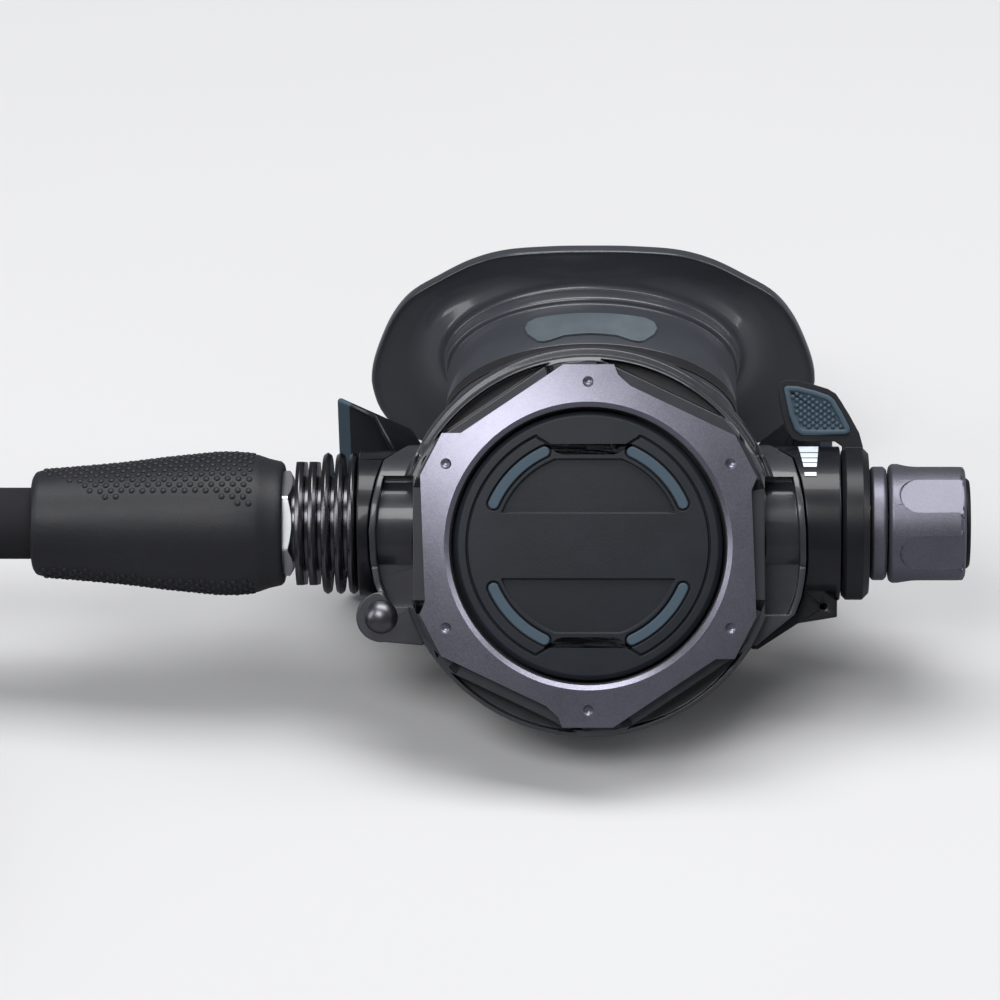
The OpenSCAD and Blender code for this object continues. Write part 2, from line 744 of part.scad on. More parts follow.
module poppet_spring() {
    start = nut_x + 2 + snug_gap;
    color("silver") head() on_valve() translate([0, 0, start]) helix(2.7, 0.35, spring_end - start, 5);
}

module spring_pad() {
    color("#b08d4f") head() valve_ring(pad_x, pad_x + pad_t, tube_bore_r - run_gap);
}

module adjust_screw() {
    color("#9a9aa0") head() valve_ring(pad_x + pad_t + pad_pitch + 0.4, knob_end - 4, screw_r);
}

module screw_oring() {
    x = right_face - 2.4;
    color("#1c1c1f") head() valve_ring(x, x + 1.2, tube_bore_r - run_gap, screw_r + fit_gap);
}

// ---------------------------------------------------------------- left side: exchanger, nut, hose end

module heat_exchanger() {
    spigot = neck_bore_r - snug_gap;
    core_r = 9;
    groove_r = 6.2;
    groove_x = inlet_oring_x + inlet_oring_r + 0.15;
    groove_end = inlet_oring_x - inlet_oring_r - 0.15;
    bore = 2.6;
    nipple_r = 7.1;
    color("#4a494f") head() difference() {
        union() {
            on_valve() rotate_extrude() polygon([[bore, exchanger_tip], [spigot, exchanger_tip], [spigot, groove_x],
                [groove_r, groove_x], [groove_r, groove_end], [spigot, groove_end], [spigot, exchanger_face],
                [core_r, exchanger_face], [core_r, fins_end], [nipple_r, fins_end], [nipple_r, fins_end - 6],
                [bore, fins_end - 6]]);
            for (i = [0:fin_count - 1]) {
                x = first_fin - i * fin_pitch;
                flat = i < fin_count - 2 ? fin_r : spanner_flat / 2;
                intersection() {
                    on_valve() rotate_extrude() polygon([[core_r - 1, x - fin_t], [fin_r - 0.5, x - fin_t],
                        [fin_r, x - fin_t / 2], [fin_r - 0.5, x], [core_r - 1, x]]);
                    translate([x - fin_t, valve_d - fin_r, valve_u - flat]) cube([fin_t, 2 * fin_r, 2 * flat]);
                }
            }
        }
        valve_ring(tube_left - fit_gap, 0, tube_r + fit_gap);
    }
}

inlet_oring_r = 0.6;
inlet_oring_x = tube_left - 1.6;

module inlet_oring() {
    mid_r = neck_bore_r - inlet_oring_r - fit_gap;
    color("#1c1c1f") head() on_valve() rotate_extrude() translate([mid_r, inlet_oring_x]) circle(inlet_oring_r);
}

module hose_nut() {
    color("#d6d8dc") head() difference() {
        intersection() {
            on_valve() translate([0, 0, ferrule_x]) cylinder(d = nut_flat / cos(30), h = nut_len, $fn = 6);
            on_valve() rotate_extrude() polygon([[0, ferrule_x], [nut_flat / 2, ferrule_x],
                [nut_flat / 2 + 1.2, ferrule_x + 0.7], [nut_flat / 2 + 1.2, nut_end - 0.7], [nut_flat / 2, nut_end],
                [0, nut_end]]);
        }
        valve_ring(nut_end - 7, nut_end + 1, 7.3);
        valve_ring(ferrule_x - 1, nut_end, 4.5);
    }
}

module hose_ferrule() {
    color("#a8a9ad") head() {
        on_valve() rotate_extrude() polygon([[0, ferrule_tail], [ferrule_r - 0.5, ferrule_tail],
            [ferrule_r, ferrule_tail + 0.5], [ferrule_r, ferrule_x - 0.6], [ferrule_r - 0.6, ferrule_x],
            [0, ferrule_x]]);
        valve_ring(ferrule_x, ferrule_x + 4, 4.5 - fit_gap);
    }
}

// Sleeve that keeps the hose from kinking, bored to pass over the nut and the ferrule
module hose_protector() {
    x1 = sleeve_end;
    x0 = sleeve_end - sleeve_len;
    tail = sleeve_tail_r;
    nut_bore = nut_flat / 2 / cos(30) + run_gap;
    color("#2c2c2f") head() difference() {
        on_valve() rotate_extrude() polygon([[0, x0], [tail - 1.2, x0], [tail - 0.3, x0 + 0.5], [tail, x0 + 1.6],
            [tail + 0.5, x0 + 8], [tail + 1.3, x0 + 17], [tail + 2.4, x0 + 26], [sleeve_r, x1 - 12.5],
            [sleeve_r, x1 - 9], [sleeve_r - 0.35, x1 - 5], [sleeve_r - 1.1, x1 - 2.8], [sleeve_r - 1.6, x1 - 0.6],
            [sleeve_r - 2.2, x1], [0, x1]]);
        valve_ring(ferrule_x - 1.5, x1 + 1, nut_bore);
        valve_ring(ferrule_tail - 1.5, x1, ferrule_r + run_gap);
        valve_ring(x0 - 1, x1, hose_r + run_gap);
    }
}

// ---------------------------------------------------------------- right side: lever, marks, knob

module venturi_lever() {
    back = valve_d + 0.8;
    front = back - paddle_t;
    color("#1d2024") head() {
        difference() {
            union() {
                on_valve() rotate_extrude() polygon([[sleeve_bore_r - run_gap + fit_gap, ring_x], [ring_r - 0.8, ring_x],
                    [ring_r, ring_x + 0.8], [ring_r, ring_x + ring_w - 1.2], [ring_r - 1.2, ring_x + ring_w],
                    [sleeve_bore_r - run_gap + fit_gap, ring_x + ring_w]]);
                slab(front, back) translate([ring_x + ring_w, 0]) polygon(paddle_outline);
            }
            slab(front - 1, front + 0.8) translate([ring_x + ring_w, 0]) polygon(inlay_outline);
            valve_ring(ring_x - 1, ring_x + ring_w + 1, sleeve_bore_r - run_gap + fit_gap);
        }
    }
}

module lever_pad() {
    front = valve_d + 0.8 - paddle_t;
    color("#4d5f6b") head() slab(front - 0.4, front + 0.8)
        translate([ring_x + ring_w, 0]) polygon(inlay_outline);
}

module venturi_vane() {
    outer = sleeve_bore_r - run_gap;
    color("#26262a") head() {
        valve_ring(vane_x + 2, ring_x + ring_w, outer, tube_r + run_gap);
        translate([vane_x, valve_d + tube_r + run_gap + 0.4, valve_u - 3]) cube([3.5, 2.6, 6]);
    }
}

// White marks under the lever: a wedge cut into four bars, and one bar apart
module scale_marks() {
    bars = [[0.05, 1.15], [1.3, 2.15], [2.3, 3.05], [3.2, 3.9], [4.9, 5.6]];
    color("#e8ebef") head() intersection() {
        slab(valve_d - 20, valve_d) translate([right_face - 7.8, valve_u + right_barrel_r]) intersection() {
            polygon([[0, 0], [3.8, 0], [3.3, -3.9], [3.2, -6], [1.1, -6], [0.9, -3.9]]);
            for (b = bars) translate([0, -b[1]]) square([4, b[1] - b[0]]);
        }
        valve_ring(right_face - 9, right_face - 1, right_barrel_r + 0.15, right_barrel_r);
    }
}

module knob_collar() {
    color("#5b5864") head() on_valve() rotate_extrude() polygon([[tube_r + fit_gap, collar_x],
        [collar_r - 0.5, collar_x], [collar_r, collar_x + 0.5], [collar_r, collar_x + collar_w - 0.6],
        [collar_r - 0.6, collar_x + collar_w], [tube_r + fit_gap, collar_x + collar_w]]);
}

module adjust_knob() {
    end_r = knob_flat_w / 2;
    color("#615e6b") head() difference() {
        on_valve() rotate_extrude() polygon([[screw_r + fit_gap, knob_x], [knob_r - 0.6, knob_x],
            [knob_r, knob_x + 0.6], [knob_r, knob_end - 1.2], [knob_r - 0.4, knob_end - 0.4],
            [knob_r - 1.2, knob_end], [cap_r + fit_gap, knob_end], [cap_r + fit_gap, knob_end - 1],
            [screw_r + fit_gap, knob_end - 1]]);
        // six flats with round inner ends, the first a little above the front
        on_valve() for (a = [61:60:361]) rotate([0, 0, a]) translate([knob_r - knob_flat, 0, knob_x + 2 + end_r]) {
            translate([0, -end_r, 0]) cube([4, knob_flat_w, knob_len]);
            rotate([0, 90, 0]) cylinder(r = end_r, h = 4);
        }
    }
}

cap_r = 8.5;

module knob_cap() {
    color("#4f4c58") head() on_valve() rotate_extrude() polygon([[0, knob_end - 1], [cap_r, knob_end - 1],
        [cap_r, knob_end + 0.4], [cap_r - 0.5, knob_end + 0.9], [0, knob_end + 0.9]]);
}

// ---------------------------------------------------------------- mouthpiece

neck_w = outlet_w + snug_gap + neck_t + neck_side;
neck_h = outlet_h + snug_gap + neck_t;
bore_w = outlet_w - 3;
bore_h = outlet_h - 3.5;

// Outline of the lip flange across the mouthpiece's axis, right half from the top
flange_half = [[0, 24.5], [8, 24.2], [16.6, 22.9], [23.5, 20], [30.2, 15.2], [flange_w - 8.2, 10.6], [flange_w - 4.4, 4.6],
    [flange_w - 1.5, -3.1], [flange_w - 0.1, -9], [flange_w - 0.2, -13], [flange_w - 1.8, -17.9],
    [flange_w - 5.6, -21.7], [31.5, -23.6], [22, -22.6], [13, -19.2], [6, -17], [0, -16.6]];

module flange_outline() {
    mirrored = [for (i = [len(flange_half) - 2:-1:1]) [-flange_half[i][0], flange_half[i][1]]];
    polygon(smooth(concat(flange_half, mirrored), 3));
}

// Space between two upright cylinders, both bent about the wearer's side
module bent_plate(y0, t) {
    translate([0, head_y + y0 + flange_bend, mouth_z - 40]) difference() {
        cylinder(r = flange_bend, h = 80, $fn = 180);
        translate([0, 0, -1]) cylinder(r = flange_bend - t, h = 82, $fn = 180);
    }
}

// The neck's outline, an ellipse
module neck_oval(grow) {
    polygon([for (a = [0:5:355]) [(neck_w + grow) * cos(a), (neck_h + grow) * sin(a)]]);
}

module mouthpiece() {
    color("#0e0e10") difference() {
        union() {
            across_mouth(neck_start, neck_end + eps) neck_oval(0);
            across_mouth(neck_end, neck_end + 0.8) neck_oval(-0.5);
            across_mouth(neck_end + 0.8 - eps, flange_y + 2.6) neck_oval(0.6);
            intersection() {
                across_mouth(flange_y, flange_y + 40) flange_outline();
                bent_plate(flange_y + 1.5, flange_t);
            }
            across_mouth(flange_y + 2, flange_y + 12) oval(bore_w + 3, bore_h + 3);
            // bite tabs, with the ridges that go behind the teeth
            intersection() {
                union() for (side = [-1, 1]) {
                    translate([side * 23.5 - 7.5, head_y + flange_y + 3, mouth_z - 1.6])
                        cube([15, bite_end - flange_y - 3, 3.2]);
                    translate([side * 17.2 - 1.2, head_y + flange_y + 11, mouth_z - 5.5])
                        cube([2.4, bite_end - flange_y - 11, 11]);
                }
                translate([0, head_y + bite_end - 40, mouth_z - 40]) cylinder(r = 40, h = 80);
            }
        }
        across_mouth(neck_start - 1, outlet_end + snug_gap) oval(outlet_w + snug_gap, outlet_h + snug_gap);
        across_mouth(neck_start, bite_end) oval(bore_w, bore_h);
        // groove of the strap
        across_mouth(clamp_y, clamp_y + clamp_w) difference() {
            neck_oval(2);
            neck_oval(-1);
        }
    }
}

module mouthpiece_clamp() {
    grip = fit_gap;
    color("#1a1a1c") across_mouth(clamp_y + grip, clamp_y + clamp_w - grip) difference() {
        union() {
            neck_oval(0.2);
            translate([neck_w - 6, -neck_h * 0.6]) rotate(-30) square([5, 3], center = true);
        }
        neck_oval(grip - 1);
    }
}

// Outline of the badge from above, right half: its ends are drawn in towards the front
badge_half = [[0, 4.4], [badge_w / 2 - 2.2, 4.4], [badge_w / 2 - 0.5, 3.5], [badge_w / 2, 1.6], [badge_w / 2 - 0.6, -0.6],
    [badge_w / 2 - 2.6, -3.6], [badge_w / 2 - 3.6, -4.1], [badge_w / 2 - 5, -4], [5, -2.9], [0, -2.6]];

module mouthpiece_badge() {
    mirrored = [for (i = [len(badge_half) - 2:-1:1]) [-badge_half[i][0], badge_half[i][1]]];
    color("#52646f") intersection() {
        translate([0, head_y + 57, mouth_z]) linear_extrude(40) polygon(concat(badge_half, mirrored));
        across_mouth(neck_start, neck_end) difference() {
            neck_oval(0.5);
            neck_oval(0);
        }
    }
}

// ---------------------------------------------------------------- exhaust

tip_slope = 0.8;      // slope of a wing at its tip, seen from above
wing_curve = tip_slope / 2 / tip_reach;
right_tip = tip_reach - 2;    // shorter, to stay behind the lever's paddle
wing_sides = 20;
wing_steps = 18;
thin_from = 34;       // from here outward a wing is as thin as at its tip
rise_from = 26;
rise_end = 38;
mid_round = 8;
tip_low = 4;
mid_low = 0.5;
foot_t = 1.4;
foot_reach = 33;

function wing_point(s, off, z) = let (d = unit([1, 2 * wing_curve * s]))
    [s - off * d[1], wing_curve * s * s + off * d[0], z];
function foot_point(s, off) = let (p = wing_point(s, off, 0)) [p[0], p[1]];
function wing_half(s) = mix(tee_mid_half, tee_tip_half, ramp(abs(s) / thin_from));
function wing_rise(s) = ramp((abs(s) - rise_from) / (rise_end - rise_from));
function wing_top(s) = mix(tee_mid_top, tee_tip_top, wing_rise(s));
function wing_low(s) = mix(mid_low, tip_low, ramp((abs(s) - foot_reach) / (tip_reach - foot_reach)));
function wing_round(s) = mix(mid_round, tip_round, ramp(abs(s) / tip_reach));

// Section of the duct at s: a rectangle with round corners, each a quarter of the points, its top leaning back
function wing_ring(s, inset) =
    let (full = wing_half(s), half = full - inset, lo = wing_low(s) + inset, hi = wing_top(s) - inset,
        r = max(wing_round(s) - inset, 0.4), per = wing_sides / 4)
    [for (k = [0:wing_sides - 1])
        let (q = floor(k / per), a = 90 * (q + (k % per) / (per - 1)),
            across = (q == 0 || q == 3 ? 1 : -1) * (half - r) + r * cos(a),
            lean = tip_lean * wing_rise(s) * (full - across) / (2 * full),
            up = (q < 2 ? hi - r - lean : lo + r) + r * sin(a))
        wing_point(s, -across, up)];

// Space within the middle of the duct's wall between two places along the wings
module wing_duct(s0, s1, steps) {
    skin([for (i = [0:steps]) wing_ring(mix(s0, s1, i / steps), tee_wall / 2)]);
}

// Wall of the duct between two places along the wings
module wing_wall(s0, s1, steps) {
    loop_skin(concat([for (i = [0:steps]) wing_ring(mix(s0, s1, i / steps), 0)],
        [for (i = [steps:-1:0]) wing_ring(mix(s0, s1, i / steps), tee_wall)]));
}

module case_envelope(grow) {
    head() case_shell(grow);
    head() valve_ring(-left_face - grow, barrel_in - cover_r + grow, left_barrel_r + grow);
    head() valve_ring(cover_r - barrel_in - grow, right_face + grow, right_barrel_r + grow);
    head() cover_ring(port_boss_r + grow, 0, case_back_d - 1, case_back_d + port_boss_len + grow, port_u);
    across_mouth(26, outlet_end) oval(outlet_w + grow, outlet_h + grow);
}

module exhaust_tee() {
    steps = 8;
    collar_out = port_boss_r + run_gap + tee_wall;
    color("#141416") difference() {
        union() {
            wing_wall(trim_w - tip_reach, right_tip - trim_w, wing_steps);
            linear_extrude(foot_t) polygon(concat(
                [for (i = [-steps:steps]) let (s = foot_reach * i / steps) foot_point(s, wing_half(s) - 4)],
                [for (i = [steps:-1:-steps]) let (s = foot_reach * i / steps) foot_point(s, 4 - wing_half(s))]));
            // collar round the port, cut off at the ground and opened to the duct
            difference() {
                head() cover_ring(collar_out, 0, case_back_d - 1, case_back_d + 7, port_u);
                translate([-20, -40, -10]) cube([40, 80, 10]);
                wing_duct(trim_w - tip_reach, right_tip - trim_w, wing_steps);
            }
        }
        head() cover_ring(port_boss_r + run_gap, 0, case_back_d - 2, case_back_d + 7 - tee_wall, port_u);
        case_envelope(run_gap);
    }
}

module tee_trim() {
    color("#52646f") {
        wing_wall(-tip_reach, trim_w - tip_reach, 1);
        wing_wall(right_tip - trim_w, right_tip, 1);
    }
}

module exhaust_valve() {
    d = case_back_d + port_boss_len;
    color("#8e949a") head() translate([0, 0, port_u]) turned() polygon([[0, d - 3.4], [1, d - 3.4], [1.5, d - 2.6],
        [1.5, d + 0.2], [port_boss_r - 0.6, d + 0.2], [port_boss_r - 0.4, d + 0.7], [4, d + 1.2], [0, d + 1.4]]);
}

// ---------------------------------------------------------------- hose

exit_point = [ferrule_tail, -axis_front, axis_h];
rest_z = hose_r + snug_gap + strap_t;
far_z = max(ferrule_r, rest_z) + 0.1;
coil_mid = [-199, -72];
sides_run = 12;
sides_coil = 6;
loop_rings = 24;
spiral_turns = 1.25;
fall_len = 128;       // way over which the hose comes down
fall_start = 74;      // part of that way before the coil starts

function fall_z(s) = mix(axis_h, rest_z, ramp((fall_start + s) / fall_len));
function run_point(x) = [x, -axis_front, fall_z(coil_mid[0] - x)];

// Route of the hose before the coil: straight while the sleeve may slide, then down to the ground
run_path = concat([exit_point], [for (x = [-110, -125, -139, -154, -169, -185]) run_point(x)]);

// The coil starts on the last straight and winds outward, its height still falling over the first turn
spiral_steps = spiral_turns * loop_rings;
function spiral_r(i) = coil_r + coil_pitch * i / loop_rings;
function spiral_s(i) = 2 * PI * i / loop_rings * (coil_r + spiral_r(i)) / 2;
function spiral_z(i) = fall_z(spiral_s(i))
    + (far_z - rest_z) * ramp((spiral_s(i) - spiral_s(spiral_steps) + 32) / 30);
function spiral_point(i) = let (a = 90 + 360 * i / loop_rings)
    [coil_mid[0] + spiral_r(i) * cos(a), coil_mid[1] + spiral_r(i) * sin(a), spiral_z(i)];
last_point = spiral_point(spiral_steps);
far_end = [last_point[0], last_point[1] - 2 * hose_r, far_z];
coil_path = concat([run_path[len(run_path) - 1]], [for (i = [0:spiral_steps]) spiral_point(i)], [far_end]);

whole_path = concat(run_path, [for (i = [1:len(coil_path) - 1]) coil_path[i]]);
free_dirs = path_dirs(whole_path);
whole_dirs = [for (i = [0:len(whole_path) - 1])
    i == 0 ? [-1, 0, 0] : i == len(whole_path) - 1 ? [0, -1, 0] : free_dirs[i]];
join_at = len(run_path) - 1;

// Least gap between two turns, from points a quarter turn or more apart on the coil
turn_gap = min([for (i = [0:len(coil_path) - 1]) for (j = [i + 7:1:len(coil_path) - 1])
    norm(coil_path[i] - coil_path[j]) - 2 * hose_r]);
hose_length = sum([for (i = [1:len(whole_path) - 1]) norm(whole_path[i] - whole_path[i - 1])], len(whole_path) - 2);
echo(coil_least_gap_mm = turn_gap, hose_length_mm = hose_length);

module hose_run() {
    color("#1b1b1e") skin(tube_rings([for (i = [0:join_at]) whole_path[i]],
        [for (i = [0:join_at]) whole_dirs[i]], hose_r, sides_run));
}

module hose_coil() {
    color("#1b1b1e") skin(tube_rings([for (i = [join_at:len(whole_path) - 1]) whole_path[i]],
        [for (i = [join_at:len(whole_path) - 1]) whole_dirs[i]], hose_r, sides_coil));
}

// Strap round the two turns that lie side by side. The hose bends inward under it, so it is wider there
module hose_tie() {
    step = loop_rings / 6;
    strap_w = 12;
    inner = spiral_r(step);
    outer = spiral_r(step + loop_rings);
    lean = atan(coil_pitch / (2 * PI * inner));
    bend = strap_w / 2 * tan(180 / loop_rings + lean);
    half_w = (outer - inner + bend) / 2 + hose_r + 2 * snug_gap;
    half_h = hose_r + snug_gap;
    color("#2a2a2e") translate([coil_mid[0], coil_mid[1], rest_z]) rotate([0, 0, 90 + 360 / loop_rings * step])
        translate([(inner - bend + outer) / 2, 0, 0]) rotate([90, 0, 0])
            linear_extrude(strap_w, center = true) difference() {
                oval(half_w + strap_t, half_h + strap_t);
                oval(half_w, half_h);
            }
}

// Drawn along z, laid on the hose's far end pointing away from it
module at_far_end() {
    translate(far_end) rotate([90, 0, 0]) children();
}

fitting_hex = 14.3;
hex_len = 7;
barrel_len = 6;
groove_len = 2.2;

module far_ferrule() {
    color("#a8a9ad") at_far_end() rotate_extrude() polygon([[0, 0], [ferrule_r - 0.5, 0], [ferrule_r, 0.5],
        [ferrule_r, ferrule_len - 0.6], [ferrule_r - 0.6, ferrule_len], [0, ferrule_len]]);
}

module first_stage_fitting() {
    shoulder = ferrule_len + barrel_len + hex_len;
    color("#c4c6ca") at_far_end() difference() {
        union() {
            translate([0, 0, ferrule_len]) cylinder(r = 5.4, h = barrel_len);
            translate([0, 0, ferrule_len + barrel_len]) cylinder(d = fitting_hex / cos(30), h = hex_len, $fn = 6);
            translate([0, 0, shoulder]) cylinder(r = thread_r - 0.9, h = groove_len);
            translate([0, 0, shoulder + groove_len]) cylinder(r = thread_r, h = thread_len);
        }
        translate([0, 0, ferrule_len - 1]) cylinder(r = 2.2, h = 60);
    }
}

module fitting_oring() {
    color("#1c1c1f") at_far_end() translate([0, 0, ferrule_len + barrel_len + hex_len + 1])
        rotate_extrude() translate([thread_r + 0.2, 0]) circle(0.95);
}

case_body();
front_cover();
bezel_ring();
purge_button();
purge_accents();
purge_spring();
diaphragm_guard();
diaphragm();
diaphragm_plate();
demand_lever();
valve_tube();
seat_orifice();
poppet();
poppet_seat();
poppet_nut();
poppet_spring();
spring_pad();
heat_exchanger();
inlet_oring();
hose_nut();
hose_ferrule();
hose_protector();
mouthpiece();
mouthpiece_clamp();
mouthpiece_badge();
exhaust_valve();
exhaust_tee();
tee_trim();
lock_pin();
venturi_lever();
lever_pad();
venturi_vane();
scale_marks();
knob_collar();
adjust_knob();
knob_cap();
adjust_screw();
screw_oring();
hose_run();
hose_coil();
hose_tie();
far_ferrule();
first_stage_fitting();
fitting_oring();
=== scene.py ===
"""Second stage of a diving regulator at rest on its exhaust tee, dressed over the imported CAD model.

Lengths are written in millimetres and turned into metres by MM. A place on the head is given as
(x, depth, height) square to the front cover, and HeadFrame turns it into the row frame.
"""

import json
import logging
import math
from dataclasses import dataclass
from enum import Enum
from typing import Callable, Iterable, Sequence

import bmesh
import bpy
from mathutils import Matrix, Vector

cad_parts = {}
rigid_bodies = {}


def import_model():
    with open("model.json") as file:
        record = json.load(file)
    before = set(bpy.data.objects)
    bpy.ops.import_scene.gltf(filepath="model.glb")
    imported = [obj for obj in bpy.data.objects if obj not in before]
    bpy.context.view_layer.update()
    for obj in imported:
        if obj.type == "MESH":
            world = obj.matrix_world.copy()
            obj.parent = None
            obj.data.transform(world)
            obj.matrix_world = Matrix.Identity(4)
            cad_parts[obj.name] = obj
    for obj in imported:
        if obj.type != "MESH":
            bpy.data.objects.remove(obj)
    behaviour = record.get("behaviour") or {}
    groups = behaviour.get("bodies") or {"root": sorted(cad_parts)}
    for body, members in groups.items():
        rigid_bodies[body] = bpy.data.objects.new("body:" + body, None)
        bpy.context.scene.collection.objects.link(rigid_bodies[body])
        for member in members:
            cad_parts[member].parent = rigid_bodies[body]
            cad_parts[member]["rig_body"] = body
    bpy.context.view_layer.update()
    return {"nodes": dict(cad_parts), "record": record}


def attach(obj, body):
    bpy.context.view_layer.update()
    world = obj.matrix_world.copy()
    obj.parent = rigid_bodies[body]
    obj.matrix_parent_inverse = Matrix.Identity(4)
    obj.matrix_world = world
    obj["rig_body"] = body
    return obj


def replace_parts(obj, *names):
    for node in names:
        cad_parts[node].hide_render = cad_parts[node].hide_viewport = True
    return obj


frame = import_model()

MM = 0.001
TAU = 2 * math.pi
TINY = 1e-9
CROWN_RADIUS = 30.0  # where the slope of a face is given, in millimetres from the cover's centre
LOG = logging.getLogger("regulator")

Colour = tuple[float, float, float]
Point = tuple[float, float, float]
Point2 = tuple[float, float]


# ---- the head's own axes


@dataclass(frozen=True)
class HeadFrame:
    """Axes square to the front cover, read from the purge and venturi joints.

    Attributes:
        valve_depth: Depth of the valve axis behind the bezel's face, in millimetres.
        valve_height: Height of the valve axis above the cover's centre, in millimetres.
    """

    valve_depth: float = 21.5
    valve_height: float = 4.1

    def joint(self, name: str) -> dict:
        """Return the record's entry for a joint."""
        return next(j for j in frame["record"]["behaviour"]["joints"] if j["name"] == name)

    @property
    def inward(self) -> Vector:
        """Unit vector from the cover's face into the case."""
        return Vector(self.joint("purge_press")["axis"]).normalized()

    @property
    def up(self) -> Vector:
        """Unit vector up the cover's face."""
        return Vector((1, 0, 0)).cross(self.inward)

    @property
    def origin(self) -> Vector:
        """Centre of the bezel's face, in metres."""
        on_axis = Vector(self.joint("venturi_turn")["pos_m"])
        on_axis.x = 0
        return on_axis - self.inward * self.valve_depth * MM - self.up * self.valve_height * MM

    def place(self, x: float, depth: float, height: float) -> Vector:
        """Turn a place across, behind and up the bezel's face into the row frame, in metres."""
        return self.origin + (Vector((1, 0, 0)) * x + self.inward * depth + self.up * height) * MM

    def on_valve(self, x: float, radius: float, angle: float) -> Vector:
        """Return a point round the valve axis, turned in radians from the front up the face."""
        depth = self.valve_depth - radius * math.cos(angle)
        return self.place(x, depth, self.valve_height + radius * math.sin(angle))


HEAD = HeadFrame()


# ---- shader toolkit


def _operator(operation: str, swapped: bool = False) -> Callable[..., "Signal"]:
    """Return a method of Signal that adds one Math node.

    Args:
        operation: What the node does.
        swapped: Whether the other value comes first.

    Returns:
        The method, which takes the other values.
    """
    def method(signal: "Signal", *others: "float | Signal") -> "Signal":
        """Add the node."""
        values = (*others, signal) if swapped else (signal, *others)
        return signal.graph.node("ShaderNodeMath", {"operation": operation}, dict(enumerate(values)))

    return method


class Signal:
    """A shader socket that takes part in arithmetic."""

    __add__ = __radd__ = _operator("ADD")
    __sub__ = _operator("SUBTRACT")
    __rsub__ = _operator("SUBTRACT", swapped=True)
    __mul__ = __rmul__ = _operator("MULTIPLY")
    __truediv__ = _operator("DIVIDE")
    floor = _operator("FLOOR")
    fraction = _operator("FRACT")
    modulo = _operator("FLOORED_MODULO")
    below = _operator("LESS_THAN")

    def __init__(self, graph: "Graph", socket: bpy.types.NodeSocket) -> None:
        """Wrap a socket of a graph."""
        self.graph = graph
        self.socket = socket

    def axis(self, letter: str) -> "Signal":
        """Return one part of a vector."""
        return self.graph.node("ShaderNodeSeparateXYZ", {}, {"Vector": self}, out=letter)

    def step(self, low: float, high: float) -> "Signal":
        """Return a smooth rise from zero at low to one at high."""
        return self.graph.node(
            "ShaderNodeMapRange", {"interpolation_type": "SMOOTHSTEP"},
            {"Value": self, "From Min": low, "From Max": high})

    def arch(self) -> "Signal":
        """Return a round hump over each unit: zero at its ends and one in its middle."""
        side = self.fraction() * 2 - 1
        return 1 - side * side


